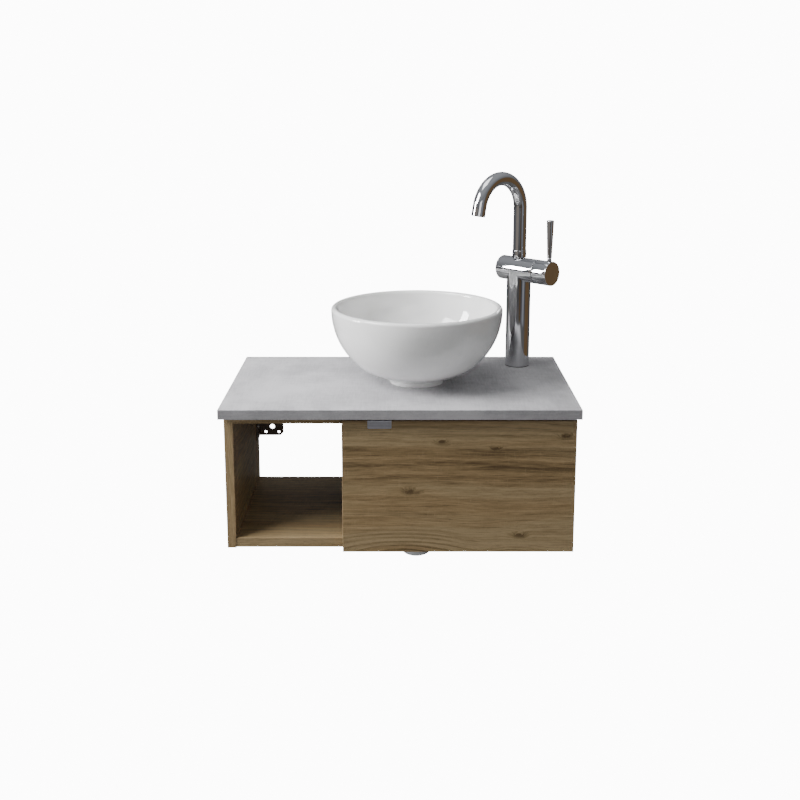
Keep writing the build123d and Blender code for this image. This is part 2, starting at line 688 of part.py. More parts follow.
def make_turret():
    # The part of the cartridge that turns, with a wide slot for the handle's stem.
    core = rod_x(30.3, 44.2, 0, 0, 12 - RUNNING)
    core -= block(36, 45, -4.6, 4.6, -9.0, 9.0)
    return on_barrel(core)


def make_hub():
    hub = rod_x(HUB_START, HUB_END, 0, 0, BARREL_RADIUS)
    rims = hub.edges().filter_by(GeomType.CIRCLE)
    hub = fillet([e for e in rims if e.center().X > HUB_END - 0.1], 0.8)
    hub -= rod_x(HUB_START - 1, HUB_START + 7, 0, 0, 18.5)
    hub += block(38.5, HUB_START + 8, -3.2, 3.2, -3.4, 4.2)
    hub -= rod(LEVER_ALONG, 0, 10, 30, 3.0)
    return on_barrel(hub - rod(LEVER_ALONG - 6, 0, -24, -8, 2.5))


def make_lever():
    # A tapered pin with a short neck, screwed into the hub.
    top = LEVER_TOP - BARREL_HEIGHT
    tip = LEVER_TIP_RADIUS
    outline = Curve() + [
        Polyline((0, 10), (3.0, 10), (3.0, 22.6), (4.3, 22.9), (4.3, 25.4), (3.7, 26.2),
                 (3.7, 27.6), (4.4, 28.6), (tip, top - 1.6)),
        ThreePointArc((tip, top - 1.6), (tip - 0.6, top - 0.4), (tip - 1.7, top)),
        Polyline((tip - 1.7, top), (0, top), (0, 10))]
    lever = turned(make_face(Plane.XZ * outline))
    return on_barrel(Pos(LEVER_ALONG, 0, 0) * lever)


def make_grub_screw():
    screw = rod(LEVER_ALONG - 6, 0, -20.5, -8, 2.5)
    screw -= Pos(LEVER_ALONG - 6, 0, -20.5) * extrude(RegularPolygon(1.4, 6), 2.5)
    return on_barrel(screw)


def all_parts():
    return {
        "countertop": make_countertop(),
        "countertop_edge_bands": make_edge_bands(),
        "side_panel_left": make_side_panel(-1),
        "side_panel_right": make_side_panel(1),
        "partition_panel": make_partition(),
        "bottom_panel": make_bottom_panel(),
        "front_rail": make_front_rail(),
        "back_rail": make_back_rail(),
        "carcass_dowels": make_dowels(),
        "countertop_screws": make_countertop_screws(),
        "wall_bracket_left": make_wall_bracket(-1),
        "wall_bracket_right": make_wall_bracket(1),
        "wall_bracket_screws": make_bracket_screws(),
        "door_panel": make_door(),
        "door_handle": make_door_handle(),
        "door_handle_screws": make_handle_screws(),
        "door_bumpers": make_door_bumpers(),
        "hinge_cups": make_hinge_cups(),
        "hinge_cup_screws": make_hinge_cup_screws(),
        "hinge_cup_pins": make_hinge_cup_pins(),
        "hinge_links": make_hinge_links(),
        "hinge_arm_pins": make_hinge_arm_pins(),
        "hinge_arms": make_hinge_arms(),
        "hinge_mounting_plates": make_hinge_plates(),
        "hinge_screws": make_hinge_screws(),
        "bowl": make_bowl(),
        "bowl_gasket": make_bowl_gasket(),
        "drain_body": make_drain_body(),
        "drain_upper_seal": make_drain_upper_seal(),
        "drain_lower_seal": make_drain_lower_seal(),
        "drain_nut": make_drain_nut(),
        "drain_click_guide": make_click_cartridge(),
        "drain_plug": make_drain_plug(),
        "tailpiece": make_tailpiece(),
        "trap_body": make_trap_body(),
        "trap_cup": make_trap_cup(),
        "trap_cup_seal": make_trap_cup_seal(),
        "trap_inlet_nut": make_trap_inlet_nut(),
        "trap_inlet_seal": make_trap_inlet_seal(),
        "trap_dip_tube": make_dip_tube(),
        "trap_outlet_nut": make_trap_outlet_nut(),
        "trap_outlet_tube": make_outlet_tube(),
        "mixer_body": make_mixer_body(),
        "mixer_base_seal": make_mixer_base_seal(),
        "mixer_shank": make_mixer_shank(),
        "mixer_washer": make_mixer_washer(),
        "mixer_nut": make_mixer_nut(),
        "mixer_inlet_block": make_inlet_block(),
        "spout_tube": make_spout(),
        "spout_collar": make_spout_collar(),
        "spout_seal_rings": make_spout_rings(),
        "aerator_housing": make_aerator_housing(),
        "aerator_insert": make_aerator_insert(),
        "mixer_cartridge": make_cartridge(),
        "mixer_cartridge_nut": make_cartridge_nut(),
        "mixer_turret": make_turret(),
        "handle_hub": make_hub(),
        "handle_lever": make_lever(),
        "handle_grub_screw": make_grub_screw(),
    }


os.makedirs("parts", exist_ok=True)
for name, shape in all_parts().items():
    export_step(shape, f"parts/{name}.step")
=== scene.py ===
import bpy
import json
import math
import numpy as np
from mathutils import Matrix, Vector


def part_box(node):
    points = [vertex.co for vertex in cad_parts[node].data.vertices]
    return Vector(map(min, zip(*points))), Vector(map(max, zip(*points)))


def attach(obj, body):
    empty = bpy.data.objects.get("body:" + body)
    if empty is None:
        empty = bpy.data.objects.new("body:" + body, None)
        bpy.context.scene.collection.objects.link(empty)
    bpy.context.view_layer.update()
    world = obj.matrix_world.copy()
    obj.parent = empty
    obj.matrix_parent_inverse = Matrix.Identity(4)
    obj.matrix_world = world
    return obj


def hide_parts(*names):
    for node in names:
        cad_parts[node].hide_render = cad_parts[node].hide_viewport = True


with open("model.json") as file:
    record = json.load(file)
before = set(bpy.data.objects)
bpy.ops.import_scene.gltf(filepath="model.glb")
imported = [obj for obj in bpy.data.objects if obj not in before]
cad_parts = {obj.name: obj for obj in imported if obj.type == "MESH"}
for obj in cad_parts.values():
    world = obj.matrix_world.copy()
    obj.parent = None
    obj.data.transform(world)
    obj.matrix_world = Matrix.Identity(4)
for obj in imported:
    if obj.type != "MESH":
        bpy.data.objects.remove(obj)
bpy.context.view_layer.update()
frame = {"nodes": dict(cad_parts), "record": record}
nodes = frame["nodes"]
print("frame loaded,", len(nodes), "nodes")


# Small helpers for node trees

def addNode(tree, kind, **settings):
    made = tree.nodes.new(kind)
    for key, value in settings.items():
        setattr(made, key, value)
    return made


def feed(tree, target, **values):
    # A value that is a socket is linked, anything else is set as the socket's own number.
    for key, value in values.items():
        socket = target.inputs[key.replace("_", " ")]
        if isinstance(value, bpy.types.NodeSocket):
            tree.links.new(value, socket)
        else:
            socket.default_value = value
    return target


def calc(tree, operation, first, second=0.0, third=None):
    made = addNode(tree, "ShaderNodeMath", operation=operation)
    given = [first, second] if third is None else [first, second, third]
    for place, value in enumerate(given):
        if isinstance(value, bpy.types.NodeSocket):
            tree.links.new(value, made.inputs[place])
        else:
            made.inputs[place].default_value = value
    return made.outputs[0]


def calcVector(tree, operation, first, second=(0, 0, 0)):
    made = addNode(tree, "ShaderNodeVectorMath", operation=operation)
    for place, value in enumerate((first, second)):
        if isinstance(value, bpy.types.NodeSocket):
            tree.links.new(value, made.inputs[place])
        else:
            made.inputs[place].default_value = value
    return made.outputs["Value" if operation in ("LENGTH", "DOT_PRODUCT", "DISTANCE") else "Vector"]


def noise(tree, place, scale, detail=4.0, rough=0.5, stretch=(1, 1, 1), distortion=0.0):
    moved = calcVector(tree, "MULTIPLY", place, stretch)
    made = addNode(tree, "ShaderNodeTexNoise")
    feed(tree, made, Vector=moved, Scale=scale, Detail=detail, Roughness=rough, Distortion=distortion)
    return made.outputs["Fac"]


def spread(tree, value, low, high, newLow=0.0, newHigh=1.0):
    made = addNode(tree, "ShaderNodeMapRange", interpolation_type="SMOOTHSTEP")
    feed(tree, made, Value=value, From_Min=low, From_Max=high, To_Min=newLow, To_Max=newHigh)
    return made.outputs["Result"]


def mixColors(tree, amount, first, second, blend="MIX"):
    made = addNode(tree, "ShaderNodeMix", data_type="RGBA", blend_type=blend)
    for socket, value in ((made.inputs[0], amount), (made.inputs[6], first), (made.inputs[7], second)):
        if isinstance(value, bpy.types.NodeSocket):
            tree.links.new(value, socket)
        else:
            socket.default_value = value if isinstance(value, float) else (*value[:3], 1.0)
    return made.outputs[2]


def newGroup(name, inputs, outputs):
    # inputs and outputs map a socket's name to its kind and, for an input, its start value.
    tree = bpy.data.node_groups.new(name, "ShaderNodeTree")
    for label, (kind, start) in inputs.items():
        socket = tree.interface.new_socket(name=label, in_out="INPUT", socket_type=kind)
        if start is not None:
            socket.default_value = start
    for label, kind in outputs.items():
        tree.interface.new_socket(name=label, in_out="OUTPUT", socket_type=kind)
    return tree, tree.nodes.new("NodeGroupInput"), tree.nodes.new("NodeGroupOutput")


def useGroup(tree, group, **values):
    made = addNode(tree, "ShaderNodeGroup", node_tree=group)
    return feed(tree, made, **values)


def newMaterial(name):
    made = bpy.data.materials.new(name)
    made.use_nodes = True
    tree = made.node_tree
    tree.nodes.clear()
    shader = tree.nodes.new("ShaderNodeBsdfPrincipled")
    output = tree.nodes.new("ShaderNodeOutputMaterial")
    tree.links.new(shader.outputs[0], output.inputs[0])
    place = tree.nodes.new("ShaderNodeTexCoord").outputs["Object"]
    return made, tree, shader, place


def bump(tree, height, depth):
    made = addNode(tree, "ShaderNodeBump")
    feed(tree, made, Strength=1.0, Distance=depth, Height=height)
    return made.outputs["Normal"]


def dimmed(color, share):
    return tuple(part * share for part in color[:3]) + (1,)


def nearEdges(tree, place, node, width):
    # The mask of the edges of a CAD node's box.
    low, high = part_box(node)
    edge = useGroup(tree, edgeGroup, Place=place, Low=tuple(low), High=tuple(high), Width=width)
    return edge.outputs["Mask"]


# Shared effects

floatSocket, colorSocket, vectorSocket = "NodeSocketFloat", "NodeSocketColor", "NodeSocketVector"


def makeEdgeGroup():
    # A point is near an edge of a box when the middle one of its three distances to the faces is small.
    tree, given, result = newGroup("edgeLine", {
        "Place": (vectorSocket, None), "Low": (vectorSocket, (0, 0, 0)), "High": (vectorSocket, (1, 1, 1)),
        "Width": (floatSocket, 0.001), "Ragged": (floatSocket, 0.5)}, {"Mask": floatSocket})
    fromLow = calcVector(tree, "SUBTRACT", given.outputs["Place"], given.outputs["Low"])
    fromHigh = calcVector(tree, "SUBTRACT", given.outputs["High"], given.outputs["Place"])
    nearest = calcVector(tree, "MINIMUM", fromLow, fromHigh)
    parts = addNode(tree, "ShaderNodeSeparateXYZ")
    tree.links.new(nearest, parts.inputs[0])
    x, y, z = parts.outputs
    middle = calc(tree, "MAXIMUM", calc(tree, "MINIMUM", x, y),
                  calc(tree, "MINIMUM", calc(tree, "MAXIMUM", x, y), z))
    grain = noise(tree, given.outputs["Place"], 90.0, 5.0, 0.6)
    ragged = calc(tree, "MULTIPLY", calc(tree, "SUBTRACT", grain, 0.5), given.outputs["Ragged"])
    width = calc(tree, "MULTIPLY", given.outputs["Width"], calc(tree, "ADD", ragged, 1.0))
    share = calc(tree, "DIVIDE", middle, width)
    tree.links.new(spread(tree, share, 1.0, 0.2), result.inputs["Mask"])
    return tree


def makeCloudGroup():
    # Three sizes of noise, from wide clouds to fine speckle, each shifted from the last.
    tree, given, result = newGroup("softClouds", {
        "Place": (vectorSocket, None), "Size": (floatSocket, 6.0), "Speckle": (floatSocket, 240.0),
        "Fibre": (floatSocket, 0.5)}, {"Cloud": floatSocket, "Speck": floatSocket, "Fibres": floatSocket})
    place = given.outputs["Place"]
    wide = addNode(tree, "ShaderNodeTexNoise")
    feed(tree, wide, Vector=place, Scale=given.outputs["Size"], Detail=9.0, Roughness=0.62, Distortion=0.25)
    fine = addNode(tree, "ShaderNodeTexNoise")
    feed(tree, fine, Vector=place, Scale=given.outputs["Speckle"], Detail=3.0, Roughness=0.7)
    across = noise(tree, place, 1.0, 3.0, 0.65, (28, 330, 330))
    along = noise(tree, place, 1.0, 3.0, 0.65, (330, 28, 330))
    woven = calc(tree, "MULTIPLY", calc(tree, "ADD", across, along), given.outputs["Fibre"])
    tree.links.new(wide.outputs["Fac"], result.inputs["Cloud"])
    tree.links.new(fine.outputs["Fac"], result.inputs["Speck"])
    tree.links.new(woven, result.inputs["Fibres"])
    return tree


def makeSmudgeGroup():
    # Faint wiped marks and hairlines for polished and cast surfaces.
    tree, given, result = newGroup("smudges", {
        "Place": (vectorSocket, None), "Size": (floatSocket, 18.0), "Low": (floatSocket, 0.04),
        "High": (floatSocket, 0.12)}, {"Rough": floatSocket, "Height": floatSocket})
    place = given.outputs["Place"]
    wiped = addNode(tree, "ShaderNodeTexNoise")
    feed(tree, wiped, Vector=place, Scale=given.outputs["Size"], Detail=6.0, Roughness=0.55, Distortion=0.8)
    lines = noise(tree, place, 1.0, 2.0, 0.6, (30, 30, 900))
    patches = spread(tree, wiped.outputs["Fac"], 0.35, 0.75)
    mark = calc(tree, "MULTIPLY", patches, spread(tree, lines, 0.2, 0.8))
    made = addNode(tree, "ShaderNodeMapRange")
    feed(tree, made, Value=mark, To_Min=given.outputs["Low"], To_Max=given.outputs["High"])
    tree.links.new(made.outputs["Result"], result.inputs["Rough"])
    tree.links.new(wiped.outputs["Fac"], result.inputs["Height"])
    return tree


def makeBrushGroup():
    # Parallel scratches: noise that is drawn out along one direction.
    tree, given, result = newGroup("brushLines", {
        "Place": (vectorSocket, None), "Stretch": (vectorSocket, (40, 1500, 1500))},
        {"Line": floatSocket, "Wide": floatSocket})
    moved = calcVector(tree, "MULTIPLY", given.outputs["Place"], given.outputs["Stretch"])
    fine = addNode(tree, "ShaderNodeTexNoise")
    feed(tree, fine, Vector=moved, Scale=1.0, Detail=4.0, Roughness=0.65)
    wide = addNode(tree, "ShaderNodeTexNoise")
    feed(tree, wide, Vector=calcVector(tree, "MULTIPLY", moved, (0.2, 0.2, 0.2)), Scale=1.0, Detail=2.0)
    tree.links.new(fine.outputs["Fac"], result.inputs["Line"])
    tree.links.new(wide.outputs["Fac"], result.inputs["Wide"])
    return tree


edgeGroup = makeEdgeGroup()
cloudGroup = makeCloudGroup()
smudgeGroup = makeSmudgeGroup()
brushGroup = makeBrushGroup()
print("shared effects ready")


# Oak-decor boards

oak = {
    "light": (0.375, 0.280, 0.155, 1), "middle": (0.250, 0.180, 0.092, 1), "dark": (0.100, 0.066, 0.030, 1),
    "edge": (0.34, 0.25, 0.15, 1), "edgeWidth": 0.0009, "edgeWear": 0.35, "grainDepth": 0.00006,
    # metres by which the grain sways, and by which a knot and an arch push it aside
    "sway": 0.030, "knotPush": 0.009, "archPush": -0.035,
    # what each layer of lines adds to the tone
    "wide": 0.36, "streaks": 0.36, "medium": 0.18, "rings": 0.06, "fibre": 0.72,
    # what dark bands at their weakest and strongest, arched lines and knots take from the tone
    "bandWeak": 0.09, "bandStrong": 0.22, "archLines": 0.20, "knots": 0.26,
    # how strongly pores, saw flecks and the cores of knots are coloured
    "pores": 0.45, "flecks": 0.28, "knotCores": 0.55,
}


def oakLines(tree, place, knot, arch):
    # Layers of lines, from wide to fine, all bent round the knots and over the arches.
    bend = noise(tree, place, 1.0, 2.0, 0.45, (2.6, 7, 7))
    push = calc(tree, "MULTIPLY", calc(tree, "SUBTRACT", bend, 0.5), oak["sway"])
    push = calc(tree, "MULTIPLY_ADD", arch, oak["archPush"], push)
    pushed = addNode(tree, "ShaderNodeCombineXYZ")
    feed(tree, pushed, Y=calc(tree, "MULTIPLY_ADD", knot, oak["knotPush"], push))
    bent = calcVector(tree, "ADD", place, pushed.outputs[0])
    rings = addNode(tree, "ShaderNodeTexWave", wave_type="BANDS", bands_direction="Y")
    feed(tree, rings, Vector=calcVector(tree, "MULTIPLY", bent, (0.1, 1, 1)), Scale=26.0, Distortion=3.0,
         Detail=3.0, Detail_Scale=1.6, Detail_Roughness=0.6)
    return {
        "rings": rings.outputs["Fac"],
        "wide": noise(tree, bent, 1.0, 3.0, 0.5, (1.3, 19, 19), 0.2),
        "medium": noise(tree, bent, 1.0, 3.0, 0.6, (5.0, 95, 95), 0.1),
        "streaks": noise(tree, bent, 1.0, 4.0, 0.72, (15, 470, 470)),
        "fibre": noise(tree, bent, 1.0, 3.0, 0.6, (26, 1300, 1300)),
        "pores": noise(tree, bent, 1.0, 2.0, 0.5, (70, 2100, 2100)),
    }


def oakTone(tree, lines, band, knot, arch):
    tone = calc(tree, "MULTIPLY", lines["streaks"], oak["streaks"])
    for layer in ("wide", "medium", "rings", "fibre"):
        tone = calc(tree, "MULTIPLY_ADD", lines[layer], oak[layer], tone)
    arched = spread(tree, lines["rings"], 0.45, 0.05, 0.0, oak["archLines"])
    tone = calc(tree, "SUBTRACT", tone, calc(tree, "MULTIPLY", arch, arched))
    broken = spread(tree, lines["medium"], 0.35, 0.62, oak["bandStrong"], oak["bandWeak"])
    tone = calc(tree, "SUBTRACT", tone, calc(tree, "MULTIPLY", band, broken))
    return calc(tree, "SUBTRACT", tone, calc(tree, "MULTIPLY", knot, oak["knots"]))


def oakColor(tree, lines, tone, knot, light, middle, dark, place):
    color = mixColors(tree, spread(tree, tone, 0.74, 0.98), middle, light)
    ruddy = mixColors(tree, 1.0, color, (1.0, 0.90, 0.80, 1), "MULTIPLY")
    color = mixColors(tree, spread(tree, lines["wide"], 0.56, 0.40, 0.0, 0.5), color, ruddy)
    color = mixColors(tree, spread(tree, tone, 0.78, 0.54), color, dark)
    pore = spread(tree, lines["pores"], 0.60, 0.72, 0.0, oak["pores"])
    color = mixColors(tree, pore, color, dark)
    saw = noise(tree, place, 1.0, 3.0, 0.7, (420, 40, 40))
    color = mixColors(tree, spread(tree, saw, 0.56, 0.72, 0.0, oak["flecks"]), color, light)
    return mixColors(tree, spread(tree, knot, 0.70, 1.0, 0.0, oak["knotCores"]), color, dark)


def makeOakGroup():
    # Place has the grain along X and the rings across Y.
    tree, given, result = newGroup("oakGrain", {
        "Place": (vectorSocket, None), "Light": (colorSocket, oak["light"]),
        "Middle": (colorSocket, oak["middle"]), "Dark": (colorSocket, oak["dark"]),
        "Band": (floatSocket, 0.0), "Knot": (floatSocket, 0.0), "Arch": (floatSocket, 0.0)},
        {"Color": colorSocket, "Rough": floatSocket, "Height": floatSocket})
    place, light, middle, dark, band, knot, arch = given.outputs[:7]
    lines = oakLines(tree, place, knot, arch)
    tone = oakTone(tree, lines, band, knot, arch)
    tree.links.new(oakColor(tree, lines, tone, knot, light, middle, dark, place), result.inputs["Color"])
    pore = spread(tree, lines["pores"], 0.60, 0.72)
    rough = calc(tree, "MULTIPLY_ADD", pore, 0.14, calc(tree, "MULTIPLY_ADD", lines["streaks"], 0.14, 0.42))
    tree.links.new(rough, result.inputs["Rough"])
    height = calc(tree, "SUBTRACT", calc(tree, "MULTIPLY", lines["fibre"], 0.5), pore)
    tree.links.new(height, result.inputs["Height"])
    return tree


def makeSpotGroup():
    # A soft oval spot round a point, drawn out along the grain, with a rim that can be uneven.
    tree, given, result = newGroup("ovalSpot", {
        "Place": (vectorSocket, None), "Centre": (vectorSocket, (0, 0, 0)), "Radius": (floatSocket, 0.01),
        "Uneven": (floatSocket, 0.7)}, {"Mask": floatSocket})
    wobble = noise(tree, given.outputs["Place"], 60.0, 3.0, 0.6)
    away = calcVector(tree, "SUBTRACT", given.outputs["Place"], given.outputs["Centre"])
    oval = calcVector(tree, "MULTIPLY", away, (0.42, 1.0, 0.0))
    share = calc(tree, "DIVIDE", calcVector(tree, "LENGTH", oval), given.outputs["Radius"])
    wobble = calc(tree, "MULTIPLY", calc(tree, "SUBTRACT", wobble, 0.5), given.outputs["Uneven"])
    tree.links.new(spread(tree, calc(tree, "ADD", share, wobble), 1.0, 0.0), result.inputs["Mask"])
    return tree


oakGroup = makeOakGroup()
spotGroup = makeSpotGroup()


def grainPlaces(tree, sockets, along, across, shift, uprightFront):
    # X runs along the grain and Y across it. With uprightFront, faces to the front and back have it along Z.
    third = next(axis for axis in "xyz" if axis not in (along, across))
    mapped = addNode(tree, "ShaderNodeCombineXYZ")
    feed(tree, mapped, X=sockets[along], Y=calc(tree, "ADD", sockets[across], sockets[third]),
         Z=calc(tree, "MULTIPLY", sockets[third], 0.3))
    lying = calcVector(tree, "ADD", mapped.outputs[0], shift)
    if not uprightFront:
        return lying
    upright = addNode(tree, "ShaderNodeCombineXYZ")
    sideways = calc(tree, "ADD", sockets["x"], calc(tree, "MULTIPLY", sockets["y"], 0.3))
    feed(tree, upright, X=sockets["z"], Y=sideways)
    facing = addNode(tree, "ShaderNodeSeparateXYZ")
    tree.links.new(tree.nodes.new("ShaderNodeNewGeometry").outputs["True Normal"], facing.inputs[0])
    choice = addNode(tree, "ShaderNodeMix", data_type="VECTOR")
    tree.links.new(spread(tree, calc(tree, "ABSOLUTE", facing.outputs[1]), 0.5, 0.6), choice.inputs[0])
    tree.links.new(lying, choice.inputs[4])
    tree.links.new(calcVector(tree, "ADD", upright.outputs[0], shift), choice.inputs[5])
    return choice.outputs[1]


def bandMask(tree, place, height, bands):
    # Each band is (height, half width, strength), and its line wanders by a few millimetres.
    mask = 0.0
    for middle, width, strength in bands:
        wander = calc(tree, "SUBTRACT", noise(tree, place, 1.0, 2.0, 0.5, (5, 1, 1)), 0.5)
        away = calc(tree, "MULTIPLY_ADD", wander, 0.012, calc(tree, "SUBTRACT", height, middle))
        line = spread(tree, calc(tree, "ABSOLUTE", away), width, 0.0)
        mask = calc(tree, "MULTIPLY_ADD", line, strength, mask)
    return mask


def spotMask(tree, flat, spots, uneven):
    # Each spot is (centre, radius) in the plane of the board.
    mask = 0.0
    for centre, radius in spots:
        spot = useGroup(tree, spotGroup, Place=flat, Centre=(*centre, 0), Radius=radius, Uneven=uneven)
        mask = calc(tree, "MAXIMUM", spot.outputs["Mask"], mask)
    return mask


def oakMaterial(name, node, along, across, shift, uprightFront=False, bands=(), knots=(), arches=()):
    # along and across pick the axes of the grain, and shift picks another stretch of the same veneer.
    made, tree, shader, place = newMaterial(name)
    parts = addNode(tree, "ShaderNodeSeparateXYZ")
    tree.links.new(place, parts.inputs[0])
    sockets = dict(zip("xyz", parts.outputs))
    flat = addNode(tree, "ShaderNodeCombineXYZ")
    feed(tree, flat, X=sockets[along], Y=sockets[across])
    grainPlace = grainPlaces(tree, sockets, along, across, shift, uprightFront)
    grain = useGroup(
        tree, oakGroup, Place=grainPlace, Light=oak["light"], Middle=oak["middle"], Dark=oak["dark"],
        Band=bandMask(tree, place, sockets[across], bands), Knot=spotMask(tree, flat.outputs[0], knots, 0.7),
        Arch=spotMask(tree, flat.outputs[0], arches, 0.06))
    worn = calc(tree, "MULTIPLY", nearEdges(tree, place, node, oak["edgeWidth"]), oak["edgeWear"])
    feed(tree, shader, Base_Color=mixColors(tree, worn, grain.outputs["Color"], oak["edge"]),
         Roughness=grain.outputs["Rough"], Specular_IOR_Level=0.22,
         Normal=bump(tree, grain.outputs["Height"], oak["grainDepth"]))
    return made


doorKnots = [((0.069, 0.083), 0.008), ((0.018, -0.004), 0.011), ((0.201, -0.082), 0.010),
             ((0.276, 0.093), 0.008), ((0.160, 0.072), 0.006)]
doorBands = [(0.067, 0.014, 0.75), (0.043, 0.012, 1.15), (0.020, 0.020, 0.45)]
doorArches = [((0.012, -0.120), 0.066), ((0.190, -0.125), 0.035)]
boardLooks = {
    "door_panel": oakMaterial("oakDoor", "door_panel", "x", "z", (0.31, 0.07, 0), bands=doorBands,
                              knots=doorKnots, arches=doorArches),
    "side_panel_left": oakMaterial("oakSideLeft", "side_panel_left", "y", "z", (0.9, 0.33, 0), True),
    "side_panel_right": oakMaterial("oakSideRight", "side_panel_right", "y", "z", (0.2, 0.71, 0), True),
    "partition_panel": oakMaterial("oakPartition", "partition_panel", "y", "z", (0.5, 0.11, 0), True),
    "bottom_panel": oakMaterial("oakBottom", "bottom_panel", "x", "y", (0.1, 0.52, 0)),
    "front_rail": oakMaterial("oakFrontRail", "front_rail", "x", "y", (0.7, 0.23, 0)),
    "back_rail": oakMaterial("oakBackRail", "back_rail", "x", "z", (1.3, 0.83, 0)),
}
print("boards ready")


# Countertop laminate

laminate = {
    "pale": (0.57, 0.565, 0.585, 1), "deep": (0.36, 0.355, 0.372, 1), "speck": (0.26, 0.255, 0.27, 1),
    "cloudSize": 7.0, "speckle": 330.0, "fibres": 0.55, "specks": 0.35, "roughLow": 0.42, "roughHigh": 0.60,
    "edgeWidth": 0.0008, "edgeWear": 0.4, "depth": 0.00005, "paintedBandShade": 0.64,
}


# shade scales the pale and deep colours: below 1.0 it is painted shade
def laminateMaterial(name, node, shade):
    made, tree, shader, place = newMaterial(name)
    clouds = useGroup(tree, cloudGroup, Place=place, Size=laminate["cloudSize"], Speckle=laminate["speckle"],
                      Fibre=0.5)
    cloud, speck, fibres = clouds.outputs
    tone = calc(tree, "MULTIPLY_ADD", fibres, laminate["fibres"], cloud)
    pale = dimmed(laminate["pale"], shade)
    color = mixColors(tree, spread(tree, tone, 0.55, 0.97), dimmed(laminate["deep"], shade), pale)
    specks = spread(tree, speck, 0.58, 0.74, 0.0, laminate["specks"])
    color = mixColors(tree, specks, color, laminate["speck"])
    worn = calc(tree, "MULTIPLY", nearEdges(tree, place, node, laminate["edgeWidth"]), laminate["edgeWear"])
    rough = spread(tree, cloud, 0.3, 0.7, laminate["roughLow"], laminate["roughHigh"])
    feed(tree, shader, Base_Color=mixColors(tree, worn, color, pale), Roughness=rough, Specular_IOR_Level=0.4,
         Normal=bump(tree, calc(tree, "ADD", fibres, speck), laminate["depth"]))
    return made


# The edge band is the same laminate darkened by 0.64: painted shade on the front edge, which faces away from
# the light from above
topLook = laminateMaterial("concreteLaminate", "countertop", 1.0)
bandLook = laminateMaterial("concreteEdgeBand", "countertop_edge_bands", laminate["paintedBandShade"])


# Metals, glaze, plastics and rubber

def polishedMaterial(name, color, roughLow, roughHigh, size=18.0, depth=0.00001):
    made, tree, shader, place = newMaterial(name)
    marks = useGroup(tree, smudgeGroup, Place=place, Size=size, Low=roughLow, High=roughHigh)
    uneven = spread(tree, marks.outputs["Height"], 0.3, 0.7)
    feed(tree, shader, Base_Color=mixColors(tree, uneven, dimmed(color, 0.94), color), Metallic=1.0,
         Roughness=marks.outputs["Rough"], Normal=bump(tree, marks.outputs["Height"], depth))
    return made


def brushedMaterial(name, color, stretch, roughLow, roughHigh):
    made, tree, shader, place = newMaterial(name)
    lines = useGroup(tree, brushGroup, Place=place, Stretch=stretch)
    tone = calc(tree, "MULTIPLY", calc(tree, "ADD", lines.outputs["Wide"], lines.outputs["Line"]), 0.5)
    tint = mixColors(tree, spread(tree, tone, 0.3, 0.7), dimmed(color, 0.8), color)
    rough = spread(tree, tone, 0.3, 0.7, roughLow, roughHigh)
    feed(tree, shader, Base_Color=tint, Metallic=1.0, Roughness=rough,
         Normal=bump(tree, lines.outputs["Line"], 0.00002))
    return made


def mouldedMaterial(name, color, rough):
    made, tree, shader, place = newMaterial(name)
    clouds = useGroup(tree, cloudGroup, Place=place, Size=25.0, Speckle=900.0, Fibre=0.2)
    tint = mixColors(tree, spread(tree, clouds.outputs["Cloud"], 0.3, 0.7), dimmed(color, 0.85), color)
    roughness = spread(tree, clouds.outputs["Speck"], 0.3, 0.7, rough - 0.06, rough + 0.08)
    feed(tree, shader, Base_Color=tint, Roughness=roughness, Specular_IOR_Level=0.5,
         Normal=bump(tree, clouds.outputs["Speck"], 0.00003))
    return made


glaze = {
    "color": (0.90, 0.90, 0.895, 1), "shade": (0.87, 0.87, 0.862, 1), "rough": 0.04, "roughest": 0.09,
    "coat": 0.5, "wave": 0.00003,
}


def glazeMaterial():
    # Fired glaze: nearly even white, a clear coat and a faint waviness.
    made, tree, shader, place = newMaterial("whiteGlaze")
    clouds = useGroup(tree, cloudGroup, Place=place, Size=11.0, Speckle=420.0, Fibre=0.0)
    cloud = clouds.outputs["Cloud"]
    color = mixColors(tree, spread(tree, cloud, 0.35, 0.65), glaze["shade"], glaze["color"])
    rough = spread(tree, clouds.outputs["Speck"], 0.3, 0.8, glaze["rough"], glaze["roughest"])
    feed(tree, shader, Base_Color=color, Roughness=rough, Coat_Weight=glaze["coat"], Coat_Roughness=0.03,
         Specular_IOR_Level=0.55, Normal=bump(tree, cloud, glaze["wave"]))
    return made


chromeLook = polishedMaterial("polishedChrome", (0.70, 0.705, 0.72, 1), 0.05, 0.10)
glazeLook = glazeMaterial()
looks = {
    "beech": mouldedMaterial("beechPeg", (0.55, 0.38, 0.22, 1), 0.6),
    "dark_steel": polishedMaterial("darkSteel", (0.19, 0.16, 0.14, 1), 0.34, 0.55, 60.0, 0.00004),
    "satin_aluminium": brushedMaterial("satinAluminium", (0.60, 0.605, 0.66, 1), (60, 1800, 1800), 0.30,
                                       0.42),
    "nickel_steel": brushedMaterial("nickelSteel", (0.60, 0.59, 0.56, 1), (300, 300, 1500), 0.22, 0.34),
    "zinc_screw": brushedMaterial("zincScrew", (0.58, 0.58, 0.57, 1), (900, 900, 900), 0.30, 0.45),
    "chrome": chromeLook,
    "glaze": glazeLook,
    "brass": brushedMaterial("machinedBrass", (0.72, 0.52, 0.24, 1), (200, 200, 2600), 0.24, 0.38),
    "rubber": mouldedMaterial("blackRubber", (0.022, 0.022, 0.023, 1), 0.62),
    "silicone": mouldedMaterial("paleSilicone", (0.62, 0.62, 0.60, 1), 0.42),
    "white_plastic": mouldedMaterial("whitePlastic", (0.70, 0.70, 0.69, 1), 0.38),
    "grey_plastic": mouldedMaterial("greyPlastic", (0.10, 0.105, 0.115, 1), 0.42),
    "countertop_laminate": topLook,
}
slotOf = {part["node"]: part["material_slot"] for part in frame["record"]["subparts"]}
